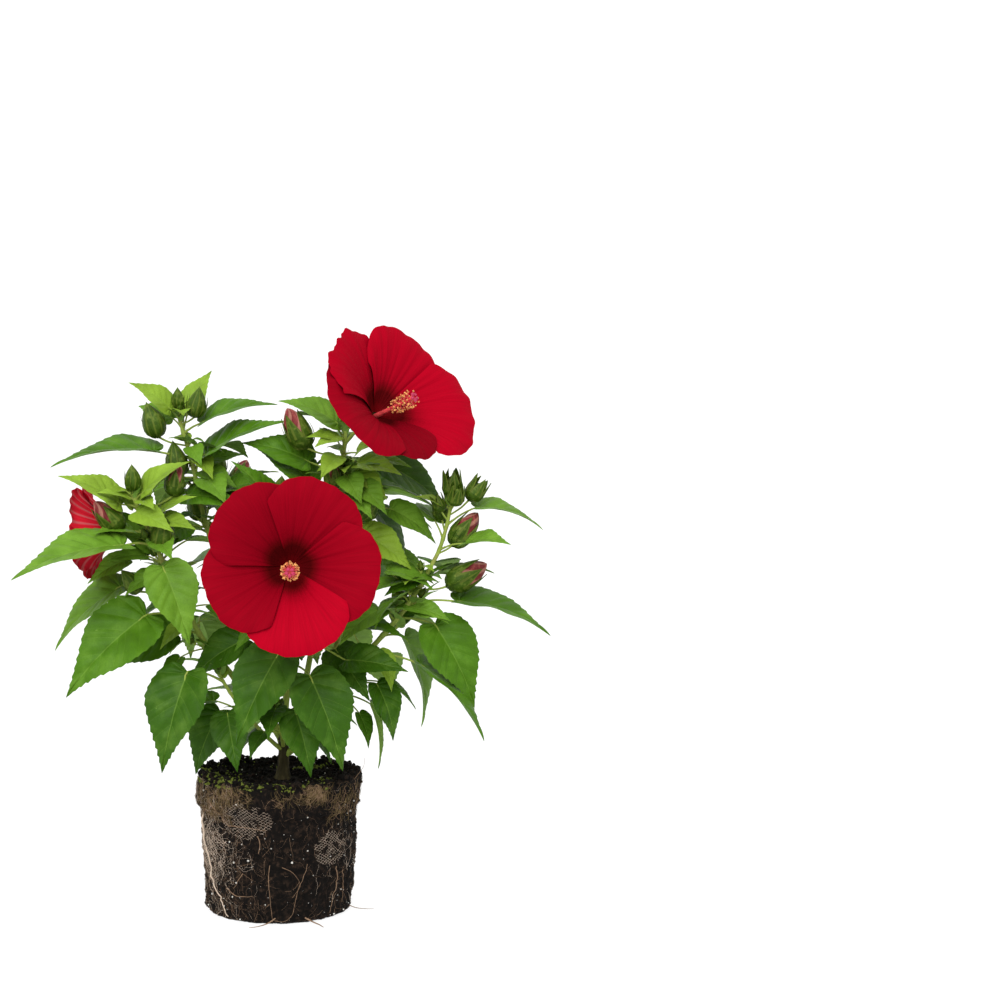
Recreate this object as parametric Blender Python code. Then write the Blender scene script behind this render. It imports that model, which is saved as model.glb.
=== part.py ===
"""Hibiscus shrub: a young rose mallow with two full blooms, one opening bloom and many buds,
standing on its bare root ball.

The origin is the middle of the ball's flat underside, +Z is up, and the side that carries the
full-face bloom looks along -Y.  Sizes are millimetres and degrees until a mesh is made.
Headings are seen from above: 0 toward -Y, 90 toward +X, 180 toward +Y, 270 toward -X.
"""
import math
import random

import bpy
from mathutils import Vector
from mathutils.bvhtree import BVHTree

MM = 0.001
SEAT = 0.3            # clear gap wherever one limb meets the next
CLEAR = 1.2           # least gap kept between leaves of different shoots
UP = Vector((0, 0, 1))

# ---- colours: base colour and roughness of each material -------------------------------------
MATERIALS = {
    "soil": ((0.045, 0.031, 0.021), 0.95), "bark": ((0.085, 0.075, 0.030), 0.80),
    "stem": ((0.095, 0.150, 0.025), 0.60), "leaf": ((0.070, 0.180, 0.020), 0.55),
    "petal": ((0.440, 0.004, 0.022), 0.50),
}

# ---- root ball -----------------------------------------------------------------------------
BALL_TOP = 135.0
BALL_PROFILE = ((69, 0), (73.5, 2.5), (75.5, 22), (77.5, 55), (79.5, 88), (80, 107),
                (84, 112), (84.8, 126), (82.5, 137), (77, 138.5))
BALL_SIDES = 32
FLAT_R = 17.0         # level patch of soil that the trunk stands on

# ---- trunk: flared foot, slight lean, flat top at the fork -----------------------------------
TRUNK_PATH = ((4, 0, BALL_TOP + SEAT), (4.4, 0, 156), (4.6, -0.4, 180), (5, -1, 200))
TRUNK_RADII = ((0.0, 8.6), (0.07, 7.0), (0.2, 5.9), (0.5, 5.3), (1.0, 4.7))

# ---- leaf: midrib place, edge place and half width, each as a part of the blade's length -----
BLADE = ((0.00, -0.06, 0.150), (0.11, 0.10, 0.285), (0.32, 0.33, 0.305), (0.58, 0.60, 0.195),
         (0.80, 0.81, 0.075))
FOLD = 0.26           # rise of the blade's edge per width
ARCH = 0.30           # arch of the midrib

# ---- shoots ----------------------------------------------------------------------------------
# path: from the trunk to the shoot's tip; radii at both ends; bare: part of the path that is a
# bare bough; leaves: (along, heading, petiole, rise, blade, pitch, roll, turn of the blade);
# buds: (along, heading, stalk, rise, length, pitch); fill: leaves added by the growth rule as
# (count, first heading, least and greatest heading); space: the box the mass keeps to.
SHOOTS = {
    "front": dict(
        path=((5, -1, 200), (8, -12, 228), (11, -24, 260), (11, -33, 300), (8, -38, 350),
              (3, -38, 400), (0, -36, 426)), radii=(3.9, 1.7), bare=0.24,
        leaves=((0.05, 350, 58, 20, 104, -63, -38, -55), (0.02, 18, 62, 0, 101, -67, 38, 40),
                (0.22, 107, 52, -21, 68, -45, 40, -65), (0.16, 262, 45, 6, 74, -35, -45, 0),
                (0.90, 284, 12, 50, 66, 48, -40, 0), (0.84, 310, 14, 20, 46, 10, -20, 0),
                (0.30, 225, 42, 10, 80, -30, -10, 0), (0.62, 70, 30, 20, 66, -20, 20, 0),
                (0.20, 73, 62, -20, 66, -9, 40, 0)),
        buds=((1.00, 20, 5, 75, 22, 70), (0.90, 100, 14, 40, 18, 60)),
        fill=(3, 150, 120, 250), space=(-100, 132, -140, 110, 140, 505)),
    "left": dict(
        path=((0, 0, 186), (-26, -4, 212), (-50, -8, 246), (-78, -12, 282), (-100, -24, 328),
              (-118, -35, 367), (-139, -45, 416), (-145, -50, 433)), radii=(3.6, 1.7), bare=0.37,
        leaves=((0.92, 280, 18, 12, 68, 26, -35, 0), (0.68, 314, 50, 7, 116, -15, -20, -37),
                (0.58, 262, 35, 5, 50, -31, -40, 0), (0.50, 352, 38, 20, 84, -66, 44, 66),
                (0.36, 264, 60, 10, 95, -43, -26, 4), (0.22, 311, 57, 9, 114, -42, -50, -27),
                (0.12, 272, 26, 4, 84, -26, -58, -12), (0.20, 338, 20, 0, 36, -45, -30, -55),
                (0.02, 300, 34, -12, 36, -55, -20, 0), (0.90, 12, 12, 0, 48, -22, 40, 70),
                (0.45, 180, 30, 20, 72, -10, 0, 0), (0.28, 90, 24, 10, 50, -35, 30, 0),
                (0.97, 62, 12, 42, 48, 36, 30, 0)),
        buds=((1.00, 0, 5, 80, 26, 78), (0.90, 88, 37, 25, 31, 82),
              (0.66, 18, 18, 10, 38, 70), (0.42, 285, 37, -4, 29, 50), (0.78, 286, 27, 6, 31, 40),
              (0.95, 200, 12, 50, 20, 60)),
        fill=(4, 170, 130, 262), space=(-266, -10, -130, 110, 165, 490)),
    "upper_left": dict(
        path=((2, 2, 196), (-14, 8, 222), (-42, 12, 300), (-72, 14, 385), (-86, 18, 447),
              (-94, 20, 476), (-103, 22, 509)), radii=(3.5, 1.6), bare=0.60,
        leaves=((0.60, 296, 42, 20, 108, -8, -9, -26), (0.95, 270, 15, 50, 51, 35, -40, 0),
                (0.88, 256, 18, 35, 50, 14, -40, 8), (0.86, 130, 26, 50, 52, 54, 20, -38),
                (0.97, 8, 10, 50, 32, 28, 0, 0), (0.85, 88, 22, 30, 80, 15, 16, 0),
                (0.62, 72, 16, 24, 95, 23, 22, 10), (0.35, 84, 24, 15, 56, 8, 24, 0),
                (0.34, 322, 22, 10, 68, -8, 34, 95), (0.10, 300, 24, 5, 62, -30, -30, 0)),
        buds=((0.75, 284, 31, 18, 37, 70), (0.92, 78, 16, 30, 31, 80), (1.00, 0, 8, 80, 20, 85)),
        fill=(4, 165, 120, 250), space=(-236, 10, -60, 150, 330, 572)),
    "top_right": dict(
        path=((7, 2, 190), (24, 8, 222), (42, 4, 320), (58, -6, 410), (63, -10, 445),
              (65, -10, 466), (68, -10, 501)), radii=(3.5, 1.8), bare=0.68,
        leaves=((0.92, 256, 11, 50, 67, 23, -32, 4), (0.83, 292, 9, 20, 36, 6, -30, 0),
                (0.45, 262, 38, 28, 72, 16, -40, 0), (0.47, 58, 16, 18, 46, -30, 30, 0),
                (0.30, 28, 20, 10, 50, -26, 20, 0), (0.55, 95, 42, 8, 84, -35, 45, 0),
                (0.40, 78, 32, 0, 75, -20, 10, 0), (0.02, 68, 30, -20, 66, -35, 42, 6),
                (0.15, 84, 54, 0, 60, -35, 40, 0), (0.10, 112, 45, 0, 76, -62, 42, 0), (0.30, 258, 30, 22, 74, 30, -35, 0)),
        buds=((0.68, 279, 40, 14, 42, 64), (0.30, 330, 14, 30, 29, 76), (0.03, 66, 28, 6, 31, 45),
              (0.96, 160, 14, 48, 22, 76), (0.80, 140, 22, 36, 26, 70)),
        fill=(5, 175, 120, 250), space=(-50, 182, -75, 150, 330, 560)),
    "right": dict(
        path=((7, -1, 160), (22, -5, 172), (44, -8, 200), (67, -10, 228), (88, -15, 264),
              (120, -20, 303), (141, -22, 333), (163, -25, 376), (170, -25, 400),
              (175, -25, 426)), radii=(3.8, 1.7), bare=0.245,
        leaves=((0.89, 95, 35, 30, 74, -15, 12, 0), (0.78, 48, 35, 15, 58, 5, 20, 0),
                (0.51, 90, 50, 4, 104, -18, 10, 0), (0.44, 88, 38, -10, 96, -62, 54, -10),
                (0.24, 58, 56, -8, 104, -48, 6, 14), (0.34, 128, 30, -8, 98, -76, 30, -28),
                (0.28, 40, 16, -10, 44, -64, 8, 30), (0.62, 300, 8, 20, 38, -22, -30, -10),
                (0.07, 42, 38, 10, 62, -72, 42, 30), (0.03, 56, 36, -12, 67, -82, -34, 0),
                (0.09, 84, 36, 0, 44, -40, 10, 0), (0.66, 160, 30, 20, 72, -20, 0, 0),
                (0.50, 62, 8, 0, 42, -18, 35, 20), (0.02, 41, 32, -26, 38, -73, 20, 27)),
        buds=((0.76, 90, 18, 30, 40, 52), (0.59, 88, 30, 6, 44, 30), (1.00, 0, 7, 80, 23, 84),
              (0.95, 20, 13, 36, 24, 60), (0.93, 90, 26, 38, 22, 50), (0.91, 268, 11, 55, 19, 70),
              (0.86, 190, 16, 45, 24, 60)),
        fill=(4, 150, 110, 215), space=(20, 286, -100, 120, 138, 466)),
    "back_left": dict(
        path=((1, 3, 176), (-14, 20, 200), (-34, 46, 250), (-52, 72, 320), (-62, 92, 385),
              (-64, 102, 436)), radii=(3.5, 1.6), bare=0.36, leaves=(),
        buds=((1.00, 0, 6, 80, 26, 84), (0.93, 200, 18, 42, 26, 62), (0.86, 130, 24, 35, 34, 60),
              (0.72, 260, 22, 25, 32, 64)),
        fill=(15, 100, 0, 360), space=(-172, 60, -8, 240, 165, 500)),
    "back_right": dict(
        path=((7, 3, 168), (24, 18, 190), (48, 42, 236), (72, 66, 300), (88, 84, 366),
              (94, 94, 420)), radii=(3.5, 1.6), bare=0.34, leaves=(),
        buds=((1.00, 0, 6, 80, 26, 84), (0.92, 150, 18, 42, 26, 62), (0.84, 220, 24, 35, 34, 60),
              (0.66, 100, 22, 25, 32, 60)),
        fill=(15, 30, 0, 360), space=(-20, 186, -8, 236, 150, 490)),
    "low_left": dict(
        path=((1, -3, 166), (-18, -14, 186), (-44, -24, 220), (-62, -29, 250)),
        radii=(2.3, 1.5), bare=0.0,
        leaves=((0.90, 316, 52, 18, 104, -73, -25, -6), (0.50, 246, 30, 4, 72, -68, -60, 24)),
        buds=(), fill=(3, 200, 190, 300), space=(-150, 0, -110, 60, 140, 300)),
    "low_front": dict(
        path=((4, -6.2, 170), (2, -24, 188), (0, -40, 212)), radii=(2.2, 1.4), bare=0.0,
        leaves=((0.85, 32, 30, 22, 70, -71, 38, 20), (0.80, 276, 54, 8, 62, -66, 28, 110),
                (0.50, 325, 30, 5, 34, -40, 0, 0), (0.97, 350, 22, 20, 46, -30, 10, 0)),
        buds=(), fill=(2, 60, 40, 130), space=(-70, 70, -110, 0, 139, 250)),
    "low_back": dict(
        path=((3, 6.2, 162), (-2, 26, 176), (-8, 46, 196), (-12, 60, 222)), radii=(2.3, 1.4),
        bare=0.0, leaves=(), buds=(),
        fill=(7, 140, 80, 290), space=(-95, 95, 8, 175, 139, 300)),
}

# ---- blooms: shoot, place along it, seat, axis the bloom looks along, spin about it, petal
# reach (and each petal's share of it), depth of the cup, and length of the staminal column with
# the way it points --------------------------------------------------------------------------
BLOOMS = {
    "bloom_front": dict(shoot="front", along=0.40, seat=(10, -90, 364.5), axis=(0, -0.978, 0.208),
                        spin=25, reach=91, petals=(1, 1, 1, 1, 1), depth=43, column=58,
                        points=(0, -0.999, 0.045)),
    "bloom_top": dict(shoot="top_right", along=0.80, seat=(93, -29, 509),
                      axis=(0.55, -0.64, 0.535), spin=21, reach=88,
                      petals=(1.08, 0.84, 1.09, 0.95, 0.95), depth=43, column=70,
                      points=(0.645, -0.63, 0.435)),
    "bloom_left": dict(shoot="left", along=0.62, seat=(-157, -22, 391), axis=(-0.955, 0.22, 0.14),
                       spin=10, reach=48, petals=(1, 1, 1, 1, 1), depth=40, column=30,
                       points=(-0.955, 0.22, 0.14)),
}


# ---- meshes ----------------------------------------------------------------------------------
def make(name, verts, faces):
    """A mesh object from vertices in millimetres."""
    mesh = bpy.data.meshes.new(name)
    mesh.from_pydata([tuple(c * MM for c in v) for v in verts], [], faces)
    mesh.update()
    obj = bpy.data.objects.new(name, mesh)
    bpy.context.scene.collection.objects.link(obj)
    return obj


def material(name):
    """The named material, made once."""
    found = bpy.data.materials.get(name)
    if found:
        return found
    colour, rough = MATERIALS[name]
    found = bpy.data.materials.new(name)
    found.use_nodes = True
    shader = found.node_tree.nodes["Principled BSDF"]
    shader.inputs["Base Color"].default_value = (*colour, 1.0)
    shader.inputs["Roughness"].default_value = rough
    shader.inputs["Metallic"].default_value = 0.0
    return found


def finish(obj, slot, parent):
    """Give a finished solid its material and shading and hang it on the shrub's empty."""
    obj.data.materials.clear()
    obj.data.materials.append(material(slot))
    obj.data.shade_smooth()
    obj.data.set_sharp_from_angle(angle=math.radians(32))
    obj.parent = parent


def spline(points, step=12.0):
    """Points about `step` apart on a smooth curve through the given points."""
    pts = [Vector(p) for p in points]
    pts = [2 * pts[0] - pts[1]] + pts + [2 * pts[-1] - pts[-2]]
    out = []
    for i in range(1, len(pts) - 2):
        a, b, c, d = pts[i - 1:i + 3]
        count = max(1, round((c - b).length / step))
        for k in range(count):
            t = k / count
            out.append(0.5 * (2 * b + (c - a) * t + (2 * a - 5 * b + 4 * c - d) * t * t
                              + (3 * b - 3 * c + d - a) * t ** 3))
    out.append(pts[-2].copy())
    return out


def along(path, part):
    """Point and direction at a part (0..1) of a path's length."""
    lengths = [(q - p).length for p, q in zip(path, path[1:])]
    left = max(0.0, min(1.0, part)) * sum(lengths)
    for p, q, size in zip(path, path[1:], lengths):
        if left <= size or q is path[-1]:
            return p + (q - p) * min(1.0, left / size), (q - p).normalized()
        left -= size


def split(path, part):
    """Cut a path in two at a part of its length."""
    point, _ = along(path, part)
    lengths, run, cut = [(q - p).length for p, q in zip(path, path[1:])], 0.0, 0
    for i, size in enumerate(lengths):
        if run + size >= part * sum(lengths) - 1e-9:
            cut = i
            break
        run += size
    first = [p.copy() for p in path[:cut + 1]]
    second = [p.copy() for p in path[cut + 1:]]
    if (first[-1] - point).length > 2.5:
        first.append(point)
    else:
        first[-1] = point
    if (second[0] - point).length < 2.5 and len(second) > 1:
        second = second[1:]
    return first, [point.copy()] + second


def sweep(path, radii, sides):
    """Closed tube: a ring about each point of the path, flat at both ends."""
    verts, faces = [], []
    side = None
    for i, (point, radius) in enumerate(zip(path, radii)):
        ahead = (path[min(i + 1, len(path) - 1)] - path[max(i - 1, 0)]).normalized()
        if side is None:
            side = ahead.cross(UP if abs(ahead.z) < 0.9 else Vector((0, 1, 0))).normalized()
        side = (side - ahead * side.dot(ahead)).normalized()
        other = ahead.cross(side)
        for k in range(sides):
            a = math.tau * k / sides
            verts.append(point + (side * math.cos(a) + other * math.sin(a)) * radius)
    for i in range(len(path) - 1):
        for k in range(sides):
            m = (k + 1) % sides
            faces.append((i * sides + k, i * sides + m, (i + 1) * sides + m, (i + 1) * sides + k))
    faces.append(tuple(range(sides))[::-1])
    faces.append(tuple((len(path) - 1) * sides + k for k in range(sides)))
    return verts, faces


def direction(heading, pitch):
    """Unit vector for a heading in plan and a rise above level."""
    h, p = math.radians(heading), math.radians(pitch)
    return Vector((math.cos(p) * math.sin(h), -math.cos(p) * math.cos(h), math.sin(p)))


def blade(base, heading, pitch, roll, length, grow=0.0):
    """Leaf blade: heart-shaped, folded along its midrib, sharp at the edge and the long tip."""
    c = direction(heading, pitch)
    h, r = math.radians(heading), math.radians(roll)
    s = Vector((-math.cos(h), -math.sin(h), 0.0))
    n = s.cross(c)
    s, n = s * math.cos(r) - n * math.sin(r), n * math.cos(r) + s * math.sin(r)
    thick = max(1.7, 0.018 * length) / 2 + grow

    def at(a, b, up):
        lift = ARCH * a * (1 - a) * length + FOLD * abs(b) * length + up
        return base + c * (a * length) + s * (b * length) + n * lift

    verts, faces = [], []
    for mid, edge, width in BLADE:
        wide = width + grow / length
        verts += [at(mid, 0, thick), at(mid, 0, -thick), at(edge, -wide, 0), at(edge, wide, 0)]
    verts.append(at(1.0, 0, 0))
    tip = len(verts) - 1
    for i in range(len(BLADE) - 1):
        t, u = 4 * i, 4 * i + 4
        faces += [(t, u, u + 2, t + 2), (t, t + 3, u + 3, u),
                  (t + 1, t + 2, u + 2, u + 1), (t + 1, u + 1, u + 3, t + 3)]
    t = 4 * (len(BLADE) - 1)
    faces += [(t, tip, t + 2), (t, t + 3, tip), (t + 1, t + 2, tip), (t + 1, tip, t + 3),
              (0, 2, 1), (0, 1, 3)]
    return verts, faces, c, n


def petiole_path(start, base, c, n, length):
    """Centre line of a leaf stalk: gently arched, its end run into the blade's midrib."""
    middle = (start + base) / 2 + UP * 0.06 * (base - start).length
    return [start, middle, base + c * 0.09 * length + n * (ARCH * 0.08 * length)]


def lathe(start, ahead, profile, sides):
    """Solid of turning: (distance along the axis, radius) rings, flat at both ends."""
    path = [start + ahead * q for q, _ in profile]
    verts, faces = [], []
    side = ahead.cross(UP if abs(ahead.z) < 0.9 else Vector((0, 1, 0))).normalized()
    other = ahead.cross(side)
    for point, (_, radius) in zip(path, profile):
        verts += [point + (side * math.cos(math.tau * k / sides)
                           + other * math.sin(math.tau * k / sides)) * radius
                  for k in range(sides)]
    for i in range(len(path) - 1):
        for k in range(sides):
            m = (k + 1) % sides
            faces.append((i * sides + k, i * sides + m, (i + 1) * sides + m, (i + 1) * sides + k))
    faces += [tuple(range(sides))[::-1], tuple((len(path) - 1) * sides + k for k in range(sides))]
    return verts, faces


def bud_shape(start, ahead, length, sides=5):
    """Flower bud: a swelling calyx that draws in to a blunt point."""
    w = 0.31 * length
    return lathe(start - ahead * 1.5, ahead,
                 ((0, 1.3), (3.0, 0.66 * w), (0.28 * length, w), (0.60 * length, 0.85 * w),
                  (length + 1.5, 0.8)), sides)


# ---- keeping clear ---------------------------------------------------------------------------
placed = []           # (owner, tree) of every stem, leaf, bud and bloom already in its place


def tree_of(verts, faces):
    return BVHTree.FromPolygons([tuple(v) for v in verts], faces)


def clear(tree, skip=()):
    return not any(key not in skip and other.overlap(tree) for key, other in placed)


# ---- growing ---------------------------------------------------------------------------------
def grow_leaf(shoot, stem, row, space):
    """Try a leaf at its row's heading, then turned a little each way; None if nothing is free."""
    part, heading, stalk, rise, length, pitch, roll, turn = row
    start, _ = along(stem, part)
    for swing in (0, 5, -5, 10, -10, 16, -16, 24, -24, 34, -34):
        base = start + direction(heading + swing, rise) * stalk
        verts, faces, c, n = blade(base, heading + turn + swing, pitch, roll, length)
        if any(not (space[0] <= v.x <= space[1] and space[2] <= v.y <= space[3]
                    and space[4] <= v.z <= space[5]) for v in verts):
            continue
        wide = blade(base, heading + turn + swing, pitch, roll, length, CLEAR)
        stalk_line = petiole_path(start, base, c, n, length)
        outer = [start + (p - start) * 1.0 for p in stalk_line]
        outer[0] = start + (stalk_line[1] - start) * 0.5
        thick = sweep(outer, [2.2] * 3, 3)
        if clear(tree_of(wide[0], wide[1])) and clear(tree_of(*thick), skip=(shoot + ":stem",)):
            placed.append((shoot + ":leaf", tree_of(verts, faces)))
            placed.append((shoot + ":leaf", tree_of(*sweep(outer, [1.1] * 3, 3))))
            return [(verts, faces), sweep(stalk_line, (1.5, 1.2, 0.9), 3)]
    return None


def rule_rows(count, first, low, high, seed):
    """Leaves of the growth rule: golden-angle turns up the stem, smaller and steeper higher up."""
    rng = random.Random(seed)
    rows = []
    i = 0
    while len(rows) < count and i < 6 * count:
        heading = (first + 137.5 * i) % 360
        i += 1
        if not low <= heading <= high:
            continue
        up = (len(rows) + 0.4) / count
        rows.append((0.04 + 0.93 * up, heading, 20 + 32 * (1 - up) + rng.uniform(-4, 6), 5 + 45 * up,
                     (92 - 44 * up) * rng.uniform(0.86, 1.1), -52 + 70 * up + rng.uniform(-10, 10),
                     rng.uniform(-22, 22), rng.uniform(-14, 14)))
    return rows


def petal(seat, axis, spin, reach, depth, index):
    """One petal: a broad fan from the throat, its forward edge lapping over its neighbour."""
    side = axis.cross(UP if abs(axis.z) < 0.9 else Vector((0, 1, 0))).normalized()
    other = axis.cross(side)
    middle = math.radians(spin + 72 * index)
    steps_u = (-1, -0.6, -0.2, 0.2, 0.6, 1) if reach > 60 else (-1, -0.5, 0, 0.5, 1)
    steps_v = (0, 0.25, 0.62, 1)
    half = 0.8
    front, back = [], []
    for v in steps_v:
        for u in steps_u:
            angle = middle + u * math.radians(39 + 10 * min(1.0, 1.7 * v))
            rim = reach * (1 - 0.27 * abs(u) ** 3)
            radius = 3.5 + (rim - 3.5) * v
            lift = 6 + depth * (1 - (1 - v) ** 1.9) + 4.5 * u * min(1.0, 2.2 * v)
            out = side * math.cos(angle) + other * math.sin(angle)
            tilt = (axis * 0.80 - out * 0.60) if v < 0.5 else (axis * 0.95 - out * 0.31)
            point = seat + out * radius + axis * lift
            front.append(point + tilt * half)
            back.append(point - tilt * half)
    m, k = len(steps_u), len(steps_u) * len(steps_v)
    faces = []
    for j in range(len(steps_v) - 1):
        for i in range(m - 1):
            a = j * m + i
            faces.append((a, a + m, a + m + 1, a + 1))
            faces.append((k + a, k + a + 1, k + a + m + 1, k + a + m))
    rim = ([i for i in range(m)] + [j * m + m - 1 for j in range(1, len(steps_v))]
           + [(len(steps_v) - 1) * m + i for i in range(m - 2, -1, -1)]
           + [j * m for j in range(len(steps_v) - 2, 0, -1)])
    for p, q in zip(rim, rim[1:] + rim[:1]):
        faces.append((p, q, k + q, k + p))
    return front + back, faces


def bloom_parts(spec):
    """Petals, throat and staminal column of a bloom, in the order they are fused."""
    seat, axis = Vector(spec["seat"]), Vector(spec["axis"]).normalized()
    parts = [lathe(seat, axis, ((SEAT, 7.0), (6, 7.6), (11, 6.0)), 8)]
    for index in range(5):
        parts.append(petal(seat, axis, spec["spin"], spec["reach"] * spec["petals"][index],
                           spec["depth"], index))
    size, points = spec["column"], Vector(spec["points"]).normalized()
    parts.append(lathe(seat, points, ((4, 3.2), (8 + 0.38 * size, 2.4), (8 + 0.48 * size, 7.2),
                                    (8 + 0.84 * size, 7.8), (8 + 0.93 * size, 3.0),
                                    (9 + size, 3.8)), 7))
    return parts


# ---- fusing ----------------------------------------------------------------------------------
def fuse(name, parts, cutter=None):
    """One closed solid from overlapping parts: a single union of a collection, then applied."""
    target = make(name, *parts[0])
    group = bpy.data.collections.new(name + "_parts")
    bpy.context.scene.collection.children.link(group)
    for i, part in enumerate(parts[1:]):
        piece = make(f"{name}_part_{i}", *part)
        bpy.context.scene.collection.objects.unlink(piece)
        group.objects.link(piece)
    if len(parts) > 1:
        union = target.modifiers.new("Union", "BOOLEAN")
        union.operation = "UNION"
        union.operand_type = "COLLECTION"
        union.collection = group
        union.solver = "EXACT"
    if cutter is not None:
        trim = target.modifiers.new("Trim", "BOOLEAN")
        trim.operation = "DIFFERENCE"
        trim.object = cutter
        trim.solver = "EXACT"
    bpy.context.view_layer.objects.active = target
    for modifier in list(target.modifiers):
        bpy.ops.object.modifier_apply(modifier=modifier.name)
    for piece in list(group.objects):
        bpy.data.objects.remove(piece)
    bpy.data.collections.remove(group)
    return target


# ---- root ball and trunk ---------------------------------------------------------------------
def ripple(angle, height):
    """Lumpy soil: a few waves that close round the ball."""
    return (0.9 * math.sin(3 * angle + height / 17) + 0.7 * math.sin(7 * angle - height / 9)
            + 0.5 * math.sin(11 * angle + height / 6))


def root_ball():
    """Tapered plug of soil with a proud lip, a flat underside and a level patch for the trunk."""
    n = BALL_SIDES
    verts, faces = [], []
    for ring, (radius, height) in enumerate(BALL_PROFILE):
        for k in range(n):
            a = math.tau * k / n
            rough = ripple(a, height) * (0.35 if height < 3 else 1.0)
            lift = 0.0 if height < 107 else 1.6 * math.sin(5 * a + ring) + 1.2 * math.sin(9 * a)
            lift = lift if height > 130 or height == 107 else 0.5 * lift
            verts.append(Vector(((radius + rough) * math.cos(a), (radius + rough) * math.sin(a),
                                 height + (lift if height > 100 else 0.0))))
    for ring, radius in enumerate((62, 44, 29)):
        for k in range(n):
            a = math.tau * k / n
            verts.append(Vector((radius * math.cos(a), radius * math.sin(a), BALL_TOP + 1.0
                                 + 1.7 * math.sin(4 * a + 2 * ring) + 1.3 * math.sin(7 * a - ring))))
    for k in range(n):
        a = math.tau * k / n
        verts.append(Vector((4 + FLAT_R * math.cos(a), FLAT_R * math.sin(a), BALL_TOP)))
    rings = len(verts) // n
    for i in range(rings - 1):
        for k in range(n):
            m = (k + 1) % n
            faces.append((i * n + k, i * n + m, (i + 1) * n + m, (i + 1) * n + k))
    faces += [tuple(range(n))[::-1], tuple((rings - 1) * n + k for k in range(n))]
    return make("root_ball", verts, faces)


def trunk_tube(grow=0.0, below=0.0):
    path = spline(TRUNK_PATH, 8.0)
    total = len(path) - 1

    def radius(part):
        for (a, ra), (b, rb) in zip(TRUNK_RADII, TRUNK_RADII[1:]):
            if part <= b:
                return ra + (rb - ra) * (part - a) / (b - a)
        return TRUNK_RADII[-1][1]

    radii = [radius(i / total) + grow for i in range(total + 1)]
    if below:
        path = [path[0] - UP * below] + path
        radii = [radii[0]] + radii
        path[-1] = path[-1] + UP * 0.2
    verts, faces = sweep(path, radii, 12)
    if not below:
        for v in verts[:12]:
            v.z = BALL_TOP + SEAT
    return verts, faces


# ---- build -----------------------------------------------------------------------------------
for old in list(bpy.data.objects):
    bpy.data.objects.remove(old)

root_ball()
make("trunk", *trunk_tube())
trunk_tree = tree_of(*trunk_tube())
placed.append(("trunk", trunk_tree))
placed.append(("ball", tree_of([(90 * math.cos(a * 0.35), 90 * math.sin(a * 0.35), z)
                                for z in (100, 140) for a in range(18)],
                               [tuple(range(18)), tuple(range(18, 36))])))
cutter = make("trunk_space", *trunk_tube(SEAT, 4.0))

stems, limbs = {}, {}
for name, spec in SHOOTS.items():
    line = spline(spec["path"], 19.0)
    r0, r1 = spec["radii"]
    if spec["bare"]:
        bough, stem = split(line, spec["bare"])
    else:
        bough, stem = None, line
    total = sum((q - p).length for p, q in zip(line, line[1:]))
    whole = lambda run: r0 + (r1 - r0) * (run / total) ** 0.8
    if bough:
        runs = [0.0]
        for p, q in zip(bough, bough[1:]):
            runs.append(runs[-1] + (q - p).length)
        limbs[name] = sweep(bough, [whole(r) for r in runs], 7)
        placed.append((name + ":bough", tree_of(*limbs[name])))
        start = runs[-1]
        ahead = (bough[-1] - bough[-2]).normalized()
        stem[0] = stem[0] + ahead * SEAT
    else:
        start = 0.0
    runs = [start]
    for p, q in zip(stem, stem[1:]):
        runs.append(runs[-1] + (q - p).length)
    radii = [whole(min(r, total)) for r in runs]
    stems[name] = (stem, sweep(stem, radii, 6))
    placed.append((name + ":stem", tree_of(*stems[name][1])))

masses = {name: [stems[name][1]] for name in SHOOTS}

for name, spec in BLOOMS.items():
    seat, axis = Vector(spec["seat"]), Vector(spec["axis"]).normalized()
    start, _ = along(stems[spec["shoot"]][0], spec["along"])
    back = seat - axis * 17
    bend = (start + back) / 2 - axis * 4 + UP * 1.5
    stalk = sweep([start, bend, back, back + axis * 3], (2.3, 2.2, 2.4, 2.6), 6)
    calyx = lathe(seat, axis, ((-18.5, 2.6), (-15, 6.0), (-9, 8.4), (0.0, 8.0)), 8)
    masses[spec["shoot"]] += [stalk, calyx]
    placed.append((spec["shoot"] + ":stalk", tree_of(*stalk)))
    placed.append((spec["shoot"] + ":stalk", tree_of(*calyx)))
    for part in bloom_parts(spec):
        placed.append((name, tree_of(*part)))

for name, spec in SHOOTS.items():
    stem = stems[name][0]
    for part, heading, size, rise, length, pitch in spec["buds"]:
        start, _ = along(stem, part)
        end = start + direction(heading, rise) * size
        ahead = direction(heading, pitch)
        shape = bud_shape(end, ahead, length)
        if not clear(tree_of(*bud_shape(end, ahead, length + 2)), skip=(name + ":stem",)):
            print("bud skipped", name, part)
            continue
        stalk = sweep([start, end, end + ahead * 2.5], (1.5, 1.3, 1.2), 3)
        masses[name] += [stalk, shape]
        placed.append((name + ":bud", tree_of(*shape)))

for name, spec in SHOOTS.items():
    for row in spec["leaves"]:
        grown = grow_leaf(name, stems[name][0], row, spec["space"])
        if grown:
            masses[name] += grown
        else:
            print("leaf skipped", name, row)

for seed, (name, spec) in enumerate(SHOOTS.items()):
    for row in rule_rows(*spec["fill"], seed + 11):
        grown = grow_leaf(name, stems[name][0], row, spec["space"])
        if grown:
            masses[name] += grown

for name, limb in limbs.items():
    fuse("stem_" + name, [limb], cutter)
for name, parts in masses.items():
    fuse("foliage_" + name, parts, None if SHOOTS[name]["bare"] else cutter)
for name, spec in BLOOMS.items():
    fuse(name, bloom_parts(spec))
bpy.data.objects.remove(cutter)

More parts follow.
